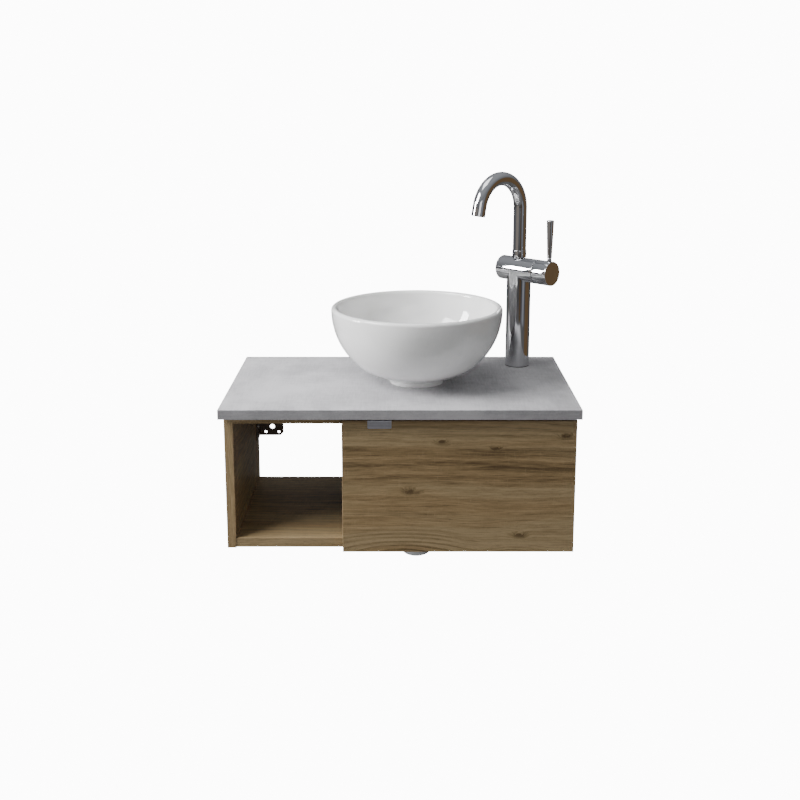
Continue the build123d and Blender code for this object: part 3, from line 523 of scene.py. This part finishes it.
for name, cadPiece in nodes.items():
    look = boardLooks.get(name) or looks[slotOf[name]]
    if name == "countertop_edge_bands":
        look = bandLook
    for place in range(max(1, len(cadPiece.material_slots))):
        if not cadPiece.material_slots:
            cadPiece.data.materials.append(look)
        cadPiece.material_slots[place].material = look
print("finishes ready")


# Surfaces of revolution and pipes, worked out as whole arrays

mm = 0.001


def rounded(corners, steps=6):
    # A closed outline of (radius, distance) corners. A third number rounds the corner with that radius:
    # from the arc's centre, each point is the two ends weighed by the sines of the turns to the other end.
    lines = []
    for place, corner in enumerate(corners):
        here = np.array(corner[:2], float)
        if len(corner) == 2:
            lines.append(here[None])
            continue
        before = np.array(corners[place - 1][:2]) - here
        after = np.array(corners[(place + 1) % len(corners)][:2]) - here
        before = before / np.linalg.norm(before)
        after = after / np.linalg.norm(after)
        half = math.acos(float(before @ after)) / 2
        middle = (before + after) / np.linalg.norm(before + after)
        centre = here + middle * corner[2] / math.sin(half)
        start = here + before * corner[2] / math.tan(half) - centre
        end = here + after * corner[2] / math.tan(half) - centre
        turn = math.pi - 2 * half
        share = np.linspace(0, 1, steps + 1)[:, None]
        arc = np.sin((1 - share) * turn) * start + np.sin(share * turn) * end
        lines.append(centre + arc / math.sin(turn))
    return np.vstack(lines)


def smoothThrough(points, steps=10):
    # A cubic through every point, whose slope there is half the chord between the two neighbours.
    points = np.array(points, float)
    padded = np.vstack([2 * points[0] - points[1], points, 2 * points[-1] - points[-2]])
    a, b, c, d = (padded[first:first + len(points) - 1, None] for first in range(4))
    share = np.linspace(0, 1, steps, endpoint=False)[None, :, None]
    curve = 2 * b + (c - a) * share + (2 * a - 5 * b + 4 * c - d) * share ** 2
    curve = (curve + (3 * b - a - 3 * c + d) * share ** 3) / 2
    return np.vstack([curve.reshape(-1, 2), points[-1]])


def straightLine(origin, direction):
    # Gives, for each distance, the centre on a straight line and two directions across it.
    along = np.array(direction, float) / np.linalg.norm(direction)
    side = np.cross(along, (0, 0, 1)) if abs(along[2]) < 0.9 else np.array((1.0, 0, 0))
    other = np.cross(along, side)

    def at(distance):
        centre = np.array(origin) + distance[:, None] * mm * along
        return centre, np.tile(side, (len(distance), 1)), np.tile(other, (len(distance), 1))
    return at


def carried(outline, at, around=128, flutes=None):
    # Each outline point becomes a ring: centre + radius (cos a side + sin a other), for a round the turn.
    # Flutes are (count, depth, low, high): the outermost rings between low and high are grooved by
    # depth times the square root of cos(count a) - 0.2, where that is above 0.
    outline = np.array(outline, float)
    poles = outline[0, 0] == 0
    rings = outline[1:-1] if poles else outline
    centre, side, other = at(rings[:, 1])
    angle = np.linspace(0, 2 * np.pi, around, endpoint=False)[None, :]
    radius = np.repeat(rings[:, :1], around, axis=1)
    if flutes:
        count, depth, low, high = flutes
        outermost = rings[:, 0] > rings[:, 0].max() - 1.5 * depth
        fluted = outermost & (rings[:, 1] >= low) & (rings[:, 1] <= high)
        radius = radius - fluted[:, None] * depth * np.clip(np.cos(count * angle) - 0.2, 0, 1) ** 0.5
    across = np.cos(angle)[..., None] * side[:, None] + np.sin(angle)[..., None] * other[:, None]
    points = (centre[:, None] + radius[..., None] * mm * across).reshape(-1, 3)
    rows = len(rings)
    first = np.arange(rows - 1 if poles else rows)[:, None] * around
    above = (first + around) % (rows * around)
    step = np.arange(around)
    after = (step + 1) % around
    faces = np.stack([first + step, first + after, above + after, above + step], axis=-1)
    faces = faces.reshape(-1, 4).tolist()
    if poles:
        points = np.vstack([points, at(outline[[0, -1], 1])[0]])
        lowPole, highPole = np.full(around, rows * around), np.full(around, rows * around + 1)
        last = (rows - 1) * around
        faces += np.stack([lowPole, after, step], axis=-1).tolist()
        faces += np.stack([highPole, last + step, last + after], axis=-1).tolist()
    return closedMesh(points, faces)


def closedMesh(points, faces):
    # Faces are turned round where the enclosed volume, a sum over corner products, comes out negative.
    mesh = bpy.data.meshes.new("surface")
    mesh.from_pydata(points.tolist(), [], faces)
    otherHalves = [(face[0], face[2], face[3]) for face in faces if len(face) == 4]
    triangles = np.array([face[:3] for face in faces] + otherHalves)
    a, b, c = (points[triangles[:, corner]] for corner in range(3))
    if np.einsum("ij,ij->", a, np.cross(b, c)) < 0:
        mesh.flip_normals()
    mesh.validate()
    return mesh


def combined(base, joined=(), cut=()):
    # Exact unions and differences of closed surfaces, applied to a fresh mesh.
    holder = bpy.data.objects.new("holder", base)
    scratch = [holder]
    for operation, meshes in (("UNION", joined), ("DIFFERENCE", cut)):
        for other in meshes:
            tool = bpy.data.objects.new("tool", other)
            scratch.append(tool)
            change = holder.modifiers.new("cut", "BOOLEAN")
            change.operation = operation
            change.solver = "EXACT"
            change.object = tool
    for item in scratch:
        bpy.context.scene.collection.objects.link(item)
    bpy.context.view_layer.update()
    seen = holder.evaluated_get(bpy.context.evaluated_depsgraph_get())
    result = bpy.data.meshes.new_from_object(seen)
    for item in scratch:
        bpy.data.objects.remove(item)
    return result


def standIn(node, mesh, body, look, sharpAngle=32.0):
    # Shows a smooth piece in place of a CAD node.
    mesh.materials.clear()
    mesh.materials.append(look)
    mesh.shade_smooth()
    mesh.set_sharp_from_angle(angle=math.radians(sharpAngle))
    piece = bpy.data.objects.new(node + "_smooth", mesh)
    mesh.name = piece.name
    bpy.context.scene.collection.objects.link(piece)
    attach(piece, body)
    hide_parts(node)


def middleOf(node):
    low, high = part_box(node)
    return (np.array(low) + np.array(high)) / 2


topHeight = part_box("countertop")[1][2]


# Bowl: outer wall, rolled lip, inner wall and the seat of the waste

bowlShape = {
    "lip": 11.5, "radius": 152.0, "height": 138.0, "around": 192,
    "outer": [(49.2, 9.6), (66, 14.2), (86, 21.8), (106, 33.8), (124, 52.5), (136.3, 71), (144.8, 90),
              (149.8, 109), (151.6, 122)],
    "inner": [(140.0, 122), (138.0, 107), (133.2, 90.5), (125.6, 74.5), (114.0, 58), (97.3, 43.6),
              (76.5, 32.4), (55, 25.2), (33, 21.8)],
    "seat": [(33, 18), (22.5, 18), (22.5, 3), (40, 3), (40, 0), (49.5, 0, 1.0), (49.5, 7.6, 1.2),
             (48.2, 8.6)],
}


def makeBowl():
    half = bowlShape["lip"] / 2
    rim, base = bowlShape["radius"] - half, bowlShape["height"] - half
    turn = np.linspace(0, np.pi, 17)
    lip = np.stack([rim + half * np.cos(turn), base + half * np.sin(turn)], axis=1)
    outer = smoothThrough(bowlShape["outer"] + [tuple(lip[0])])[:-1]
    inner = smoothThrough([tuple(lip[-1])] + bowlShape["inner"])[1:]
    seat = rounded(bowlShape["inner"][-1:] + bowlShape["seat"] + bowlShape["outer"][:1])[1:-1]
    outline = np.vstack([outer, lip, inner, seat])
    x, y = middleOf("bowl")[:2]
    standIn("bowl", carried(outline, straightLine((x, y, topHeight), (0, 0, 1)), bowlShape["around"]),
            "vanity", glazeLook, 40.0)


makeBowl()
print("bowl ready")


# Mixer: upright and barrel, spout, collar, hub and lever

mixerShape = {
    # barrelHeight and leverTop are above the countertop, the other places are along the barrel
    "radius": 22.5, "edge": 1.0, "barrelHeight": 184.5, "barrelBack": -39.0, "barrelFront": 45.0,
    "bore": 18.0, "boreStart": 10.0, "columnBore": 18.0, "shankBore": 16.0, "stemBore": 9.06,
    "hubStart": 46.0, "hubEnd": 77.4, "leverAt": 70.0, "leverTop": 282.0, "leverTip": 6.9, "leverHole": 3.0,
    "grubAt": 64.0, "grubHole": 2.5,
}
spoutShape = {
    "radius": 12.5, "bore": 10.7, "start": 220.5, "spring": 298.4, "bend": 58.0, "arc": 167.0,
    "straight": 18.5, "direction": -135.0, "mouth": 11.5, "mouthDepth": 8.0, "collar": 13.1,
    "collarLow": 207.4, "stem": 9.0, "stemBore": 7.0, "stemLow": 193.0, "ringFloor": 7.8, "ringWidth": 2.2,
    "ringLows": (196.0, 201.0),
}
mixerFoot = np.array([*middleOf("mixer_base_seal")[:2], topHeight])
barrelCentre = mixerFoot + (0, 0, mixerShape["barrelHeight"] * mm)
barrelWay = np.array((math.sqrt(0.5), -math.sqrt(0.5), 0))
upright = straightLine(mixerFoot, (0, 0, 1))
barrelLine = straightLine(barrelCentre, barrelWay)


def solidRod(line, radius, low, high, lowEdge=0.0, highEdge=0.0):
    # A rod whose two rims can be rounded. Its outline goes from pole to pole.
    corners = [(0, low), (radius, low, lowEdge), (radius, high, highEdge), (0, high)]
    corners = [corner[:2] if len(corner) == 3 and corner[2] == 0 else corner for corner in corners]
    return carried(rounded(corners), line)


def makeMixerBody():
    # The column and the barrel, hollow for the shank, the waterway, the cartridge and the spout's stem.
    shape = mixerShape
    radius, top, front = shape["radius"], shape["barrelHeight"], shape["barrelFront"]
    column = solidRod(upright, radius, 1.0, top, 0.5)
    barrel = solidRod(barrelLine, radius, shape["barrelBack"], front, shape["edge"], 0.4)
    cuts = [solidRod(upright, shape["shankBore"], 0.0, 14.0),
            solidRod(upright, shape["columnBore"], 13.0, top - 30.0),
            solidRod(barrelLine, shape["bore"], shape["boreStart"], front + 1.0),
            solidRod(upright, shape["stemBore"], top + 5.0, top + 30.0)]
    standIn("mixer_body", combined(column, [barrel], cuts), "vanity", chromeLook)


def spoutLine(distance):
    # Up the axis, round the bend and down the last straight, with the two directions across the pipe.
    shape = spoutShape
    turn = math.radians(shape["direction"])
    out = np.array((math.cos(turn), math.sin(turn), 0))
    up = np.array((0, 0, 1.0))
    angle = np.clip((distance - shape["spring"]) / shape["bend"], 0, math.radians(shape["arc"]))[:, None]
    rise = np.minimum(distance, shape["spring"])[:, None]
    rest = np.maximum(distance - shape["spring"] - shape["bend"] * math.radians(shape["arc"]), 0)[:, None]
    heading = np.sin(angle) * out + np.cos(angle) * up
    centre = rise * up + shape["bend"] * ((1 - np.cos(angle)) * out + np.sin(angle) * up) + rest * heading
    side = np.cos(angle) * out - np.sin(angle) * up
    other = np.tile(np.cross(up, out), (len(distance), 1))
    return mixerFoot + centre * mm, side, other


def makeSpout():
    # The outline runs up the outside of the stem and pipe, over the outlet's rim and back down the bore.
    shape = spoutShape
    end = shape["spring"] + shape["bend"] * math.radians(shape["arc"]) + shape["straight"]
    radius, bore, mouth = shape["radius"], shape["bore"], shape["mouth"]
    stem, stemBore, low, start = shape["stem"], shape["stemBore"], shape["collarLow"], shape["start"]
    floor, mouthLow = shape["ringFloor"], end - shape["mouthDepth"]
    foot = [(stem, shape["stemLow"])]
    for ringLow in shape["ringLows"]:
        ringHigh = ringLow + shape["ringWidth"]
        foot += [(stem, ringLow), (floor, ringLow), (floor, ringHigh), (stem, ringHigh)]
    foot += [(stem, low), (bore, low), (bore, start), (radius, start)]
    bend = np.linspace(shape["spring"], end - shape["straight"], 90)
    outside = np.stack([np.full(len(bend), radius), bend], axis=1)
    inside = np.stack([np.full(len(bend), bore), bend[::-1]], axis=1)
    rim = rounded([(radius, end - 4), (radius, end, 0.35), (mouth, end, 0.25), (mouth, mouthLow),
                   (bore, mouthLow)])
    back = [(bore, start + 6), (stemBore, start + 6), (stemBore, shape["stemLow"])]
    outline = np.vstack([foot, outside, rim[1:], inside, back])
    standIn("spout_tube", carried(outline, spoutLine, 96), "spout", chromeLook)
    collar = rounded([(bore, low), (shape["collar"], low, 0.4), (shape["collar"], start, 0.5), (bore, start)])
    standIn("spout_collar", carried(collar, upright, 96), "spout", chromeLook)


def makeHandle():
    shape = mixerShape
    start, end, radius = shape["hubStart"], shape["hubEnd"], shape["radius"]
    leverLine = straightLine(barrelCentre + barrelWay * shape["leverAt"] * mm, (0, 0, 1))
    grubLine = straightLine(barrelCentre + barrelWay * shape["grubAt"] * mm, (0, 0, 1))
    hub = rounded([(0, start + 7), (18.5, start + 7), (18.5, start), (radius, start, 0.4), (radius, end, 0.8),
                   (0, end)])
    # The square tongue reaches back into the turret.
    tongue = rounded([(0, 38.5), (3.1, 38.5, 0.4), (3.1, start + 8), (0, start + 8)])
    holes = [solidRod(leverLine, shape["leverHole"], 10, 30), solidRod(grubLine, shape["grubHole"], -24, -8)]
    body = combined(carried(hub, barrelLine), [carried(tongue, barrelLine, 4)], holes)
    standIn("handle_hub", body, "handle", chromeLook)
    top = shape["leverTop"] - shape["barrelHeight"]
    root = [(0, 10), (3.0, 10), (3.0, 22.6), (4.3, 22.9, 0.2), (4.3, 25.4, 0.3), (3.7, 26.2), (3.7, 27.6)]
    lever = rounded(root + [(4.4, 28.6), (shape["leverTip"], top, 1.5), (0, top)])
    standIn("handle_lever", carried(lever, leverLine, 64), "handle", chromeLook)


makeMixerBody()
makeSpout()
makeHandle()
print("mixer ready")


# Waste and bottle trap under the bowl

trapShape = {
    # heights are from the origin, the bead is placed from the wall, tailDrop is below the countertop's top
    "low": -187.0, "floor": 6.0, "cup": 27.5, "cupTop": -100.0, "outer": 25.0, "bore": 22.5,
    "shellLow": -110.0, "shellHigh": -12.0, "neckHigh": -5.0, "neck": 20.0, "pipe": 16.0, "pipeBore": 14.6,
    "tailLow": -18.0, "tailDrop": 58.0, "outletHeight": -45.0, "bead": 17.2, "beadFront": -42.0,
    "beadBack": -40.0, "nut": 23.5, "fluteCount": 20, "fluteDepth": 0.9,
}
trapX, trapY = middleOf("tailpiece")[:2]
trapUp = straightLine((trapX, trapY, 0), (0, 0, 1))
trapBack = straightLine((trapX, 0, trapShape["outletHeight"] * mm), (0, 1, 0))
branchAt = trapY / mm


def makeTrapCup():
    shape = trapShape
    low, floor, bore, outer = shape["low"], shape["low"] + shape["floor"], shape["bore"], shape["outer"]
    top = shape["cupTop"]
    outline = rounded([(0, low), (shape["cup"], low, 9.0), (shape["cup"], top, 0.8), (outer, top),
                       (outer, top - 13), (bore, top - 13), (bore, floor, 4.0), (0, floor)], 10)
    standIn("trap_cup", carried(outline, trapUp), "vanity", chromeLook)


def makeTrapBody():
    # A hollow drum with a neck on top and a branch towards the wall.
    shape = trapShape
    low, high, neckHigh = shape["shellLow"], shape["shellHigh"], shape["neckHigh"]
    shell = rounded([(0, low), (shape["outer"], low), (shape["outer"], high, 2.0), (shape["neck"], high),
                     (shape["neck"], neckHigh), (0, neckHigh)])
    branch = solidRod(trapBack, shape["neck"], branchAt + 20, branchAt + 42, 0, 0.4)
    pipeHole = shape["pipe"] + 0.02
    cuts = [solidRod(trapUp, shape["bore"], low - 1, high - 10), solidRod(trapUp, pipeHole, high - 18, 0),
            solidRod(trapBack, pipeHole, branchAt + 18, branchAt + 43)]
    standIn("trap_body", combined(carried(shell, trapUp), [branch], cuts), "vanity", chromeLook)


def makeTrapNut(node, line, foot, length, fluteEnd):
    # A nut round a pipe: a shoulder over the seal, a fluted grip and a rounded crown.
    shape = trapShape
    pipe, neck, radius = shape["pipe"], shape["neck"], shape["nut"]
    top = foot + length
    crownLow = top - 4.0
    shoulder = rounded([(pipe, foot + 10), (neck, foot + 10), (neck, foot), (radius, foot, 0.5),
                        (radius, foot + 6)])
    grip = np.stack([np.full(10, radius), np.linspace(foot + 3.5, crownLow, 10)], axis=1)
    crown = rounded([(radius, crownLow), (radius, top, 1.8), (pipe, top)])
    outline = np.vstack([shoulder[:-1], grip, crown[1:]])
    flutes = (shape["fluteCount"], shape["fluteDepth"], foot + 5.5, foot + fluteEnd)
    standIn(node, carried(outline, line, 160, flutes), "vanity", chromeLook)


def makeTrapPipes():
    shape = trapShape
    pipe, bore, low = shape["pipe"], shape["pipeBore"], shape["tailLow"]
    high = topHeight / mm - shape["tailDrop"]
    tail = rounded([(bore, low), (pipe, low), (pipe, high, 0.4), (bore, high)])
    standIn("tailpiece", carried(tail, trapUp), "vanity", chromeLook)
    start, bead, front, back = branchAt + 24, shape["bead"], shape["beadFront"], shape["beadBack"]
    tube = rounded([(bore, start), (pipe, start), (pipe, front, 0.4), (bead, front, 0.4), (bead, back, 0.4),
                    (pipe, back, 0.4), (pipe, 0, 0.4), (bore, 0, 0.4)])
    standIn("trap_outlet_tube", carried(tube, trapBack), "vanity", chromeLook)


wasteShape = {
    # heights are above the countertop
    "stem": 3.0, "stemLow": -8.0, "cap": 31.0, "capLow": 21.7, "capHigh": 24.3, "dome": 30.4,
    "domeLow": 25.0, "domeRise": 2.7, "low": -68.0, "pipe": 20.5, "flange": 32.6, "flangeLow": 19.4,
    "flangeHigh": 21.2, "bore": 17.0, "lowBore": 16.0, "lowBoreHigh": -56.0,
}


def makeWaste():
    # The plug's top is a dome: its height follows the sine as its radius shrinks evenly to the axis.
    shape = wasteShape
    x, y = middleOf("bowl")[:2]
    up = straightLine((x, y, topHeight), (0, 0, 1))
    stem, cap = shape["stem"], shape["cap"]
    plug = rounded([(0, shape["stemLow"]), (stem, shape["stemLow"], 0.6), (stem, shape["capLow"]),
                    (cap, shape["capLow"], 0.4), (cap, shape["capHigh"])])
    turn = np.linspace(0, 1, 14)
    rise = shape["domeLow"] + shape["domeRise"] * np.sin(turn * np.pi / 2)
    dome = np.stack([shape["dome"] * (1 - turn), rise], axis=1)
    standIn("drain_plug", carried(np.vstack([plug, dome[1:]]), up), "plug", chromeLook)
    low, pipe, flange, bore = shape["low"], shape["pipe"], shape["flange"], shape["bore"]
    body = rounded([(shape["lowBore"], low), (pipe, low, 0.5), (pipe, shape["flangeLow"]),
                    (flange, shape["flangeLow"]), (flange, shape["flangeHigh"], 0.7),
                    (bore, shape["flangeHigh"], 1.2), (bore, shape["lowBoreHigh"]),
                    (shape["lowBore"], shape["lowBoreHigh"])])
    standIn("drain_body", carried(body, up), "vanity", chromeLook)


makeTrapCup()
makeTrapBody()
makeTrapNut("trap_inlet_nut", trapUp, -11.5, 20.5, 15.5)
makeTrapNut("trap_outlet_nut", trapBack, branchAt + 34, 20.0, 14.5)
makeTrapPipes()
makeWaste()
print("trap and waste ready")


# Stage: floor, reflecting cards, lights and camera

stageSizes = {"floorDrop": 0.71, "floorHalf": 6.0, "bright": 12.0, "ambient": 0.25,
              "mirroredLow": 0.13, "mirroredHigh": 0.42}
cards = {
    # place, size across and up, glow: what the polished parts reflect
    "brownRight": ((1.9, -0.25, 0.15), (1.4, 1.5), (0.150, 0.096, 0.050, 1)),
    "brownFront": ((0.72, -3.3, 0.30), (0.75, 2.2), (0.095, 0.062, 0.034, 1)),
    "paleRight": ((1.75, -2.0, 0.40), (0.9, 1.8), (0.26, 0.27, 0.30, 1)),
    "greyLeft": ((-2.0, -1.9, 0.30), (2.6, 1.8), (0.270, 0.240, 0.215, 1)),
}


def glowMaterial(name, color):
    made, tree, shader = newMaterial(name)[:3]
    feed(tree, shader, Base_Color=(0, 0, 0, 1), Specular_IOR_Level=0.0, Emission_Color=color,
         Emission_Strength=1.0)
    return made


def floorMaterial():
    # A pale floor that is lit like the bright backdrop where it is looked at directly.
    made, tree, shader = newMaterial("paleFloor")[:3]
    feed(tree, shader, Base_Color=(0.22, 0.22, 0.22, 1), Roughness=0.8, Specular_IOR_Level=0.1)
    bright = tree.nodes.new("ShaderNodeEmission")
    feed(tree, bright, Color=(1, 1, 1, 1), Strength=stageSizes["bright"])
    both = tree.nodes.new("ShaderNodeMixShader")
    tree.links.new(tree.nodes.new("ShaderNodeLightPath").outputs["Is Camera Ray"], both.inputs[0])
    tree.links.new(shader.outputs[0], both.inputs[1])
    tree.links.new(bright.outputs[0], both.inputs[2])
    output = next(n for n in tree.nodes if n.type == "OUTPUT_MATERIAL")
    tree.links.new(both.outputs[0], output.inputs[0])
    return made


def flatCard(name, centre, size, facing, look):
    # A rectangle that looks towards a point.
    across = Vector(facing) - Vector(centre)
    turn = across.to_track_quat("Z", "Y").to_matrix()
    corners = [(-1, -1), (1, -1), (1, 1), (-1, 1)]
    points = [Vector(centre) + turn @ Vector((u * size[0] / 2, v * size[1] / 2, 0)) for u, v in corners]
    mesh = bpy.data.meshes.new(name)
    mesh.from_pydata([tuple(p) for p in points], [], [(0, 1, 2, 3)])
    card = bpy.data.objects.new(name, mesh)
    bpy.context.scene.collection.objects.link(card)
    mesh.materials.append(look)
    return card


def makeStage():
    half, low = stageSizes["floorHalf"], -stageSizes["floorDrop"]
    flatCard("floor", (0, -1.0, low), (2 * half, 2 * half), (0, -1.0, 5.0), floorMaterial())
    for name, (centre, size, color) in cards.items():
        card = flatCard(name, centre, size, (0.2, -0.2, 0.3), glowMaterial(name + "Look", color))
        card.visible_camera = False
        card.visible_shadow = False
        card.visible_diffuse = False


def makeWorld():
    # White where the camera looks at it, dim light all round, and a graded tone in mirrors.
    world = bpy.data.worlds.new("studio")
    bpy.context.scene.world = world
    world.use_nodes = True
    tree = world.node_tree
    tree.nodes.clear()
    seen = addNode(tree, "ShaderNodeBackground")
    feed(tree, seen, Color=(1, 1, 1, 1), Strength=stageSizes["bright"])
    ray = tree.nodes.new("ShaderNodeLightPath")
    around = addNode(tree, "ShaderNodeBackground")
    feed(tree, around, Color=(1, 1, 1, 1), Strength=stageSizes["ambient"])
    mirrored = addNode(tree, "ShaderNodeBackground")
    way = addNode(tree, "ShaderNodeSeparateXYZ")
    tree.links.new(tree.nodes.new("ShaderNodeTexCoord").outputs["Generated"], way.inputs[0])
    rise = spread(tree, way.outputs[2], 0.0, 0.9, stageSizes["mirroredLow"], stageSizes["mirroredHigh"])
    feed(tree, mirrored, Color=(0.92, 0.95, 1.0, 1), Strength=rise)
    dim = addNode(tree, "ShaderNodeMixShader")
    tree.links.new(ray.outputs["Is Glossy Ray"], dim.inputs[0])
    tree.links.new(around.outputs[0], dim.inputs[1])
    tree.links.new(mirrored.outputs[0], dim.inputs[2])
    choice = addNode(tree, "ShaderNodeMixShader")
    tree.links.new(ray.outputs["Is Camera Ray"], choice.inputs[0])
    tree.links.new(dim.outputs[0], choice.inputs[1])
    tree.links.new(seen.outputs[0], choice.inputs[2])
    output = tree.nodes.new("ShaderNodeOutputWorld")
    tree.links.new(choice.outputs[0], output.inputs[0])


lamps = {
    "keyLeft": {"place": (-1.3, -0.8, 1.5), "aim": (0.0, -0.2, 0.15), "size": (0.9, 0.9), "power": 52.0},
    "topSoft": {"place": (-0.2, -0.2, 2.4), "aim": (0.0, -0.2, 0.1), "size": (1.4, 1.2), "power": 14.0},
    "leftSoft": {"place": (-2.0, -0.35, 0.85), "aim": (0.0, -0.2, 0.2), "size": (0.45, 0.8), "power": 52.0},
    "frontFill": {"place": (0.6, -3.2, 0.9), "aim": (0.1, -0.3, 0.0), "size": (1.4, 1.4), "power": 10.0},
}


def makeLamps():
    for name, lamp in lamps.items():
        data = bpy.data.lights.new(name, "AREA")
        data.shape = "RECTANGLE"
        data.size, data.size_y = lamp["size"]
        data.energy = lamp["power"]
        made = bpy.data.objects.new(name, data)
        bpy.context.scene.collection.objects.link(made)
        made.location = lamp["place"]
        away = Vector(lamp["place"]) - Vector(lamp["aim"])
        made.rotation_mode = "QUATERNION"
        made.rotation_quaternion = away.to_track_quat("Z", "Y")


viewing = {"place": (0.0, -2.066, 0.6713), "pitch": 11.6, "lens": 48.96, "shift": -0.12}


def makeCamera():
    data = bpy.data.cameras.new("camera")
    made = bpy.data.objects.new("camera", data)
    bpy.context.scene.collection.objects.link(made)
    data.lens = viewing["lens"]
    data.sensor_width = 36.0
    data.shift_y = viewing["shift"]
    data.clip_start = 0.05
    made.location = viewing["place"]
    made.rotation_euler = (math.radians(90.0 - viewing["pitch"]), 0, 0)
    bpy.context.scene.camera = made


makeStage()
makeWorld()
makeLamps()
makeCamera()
print("stage ready")
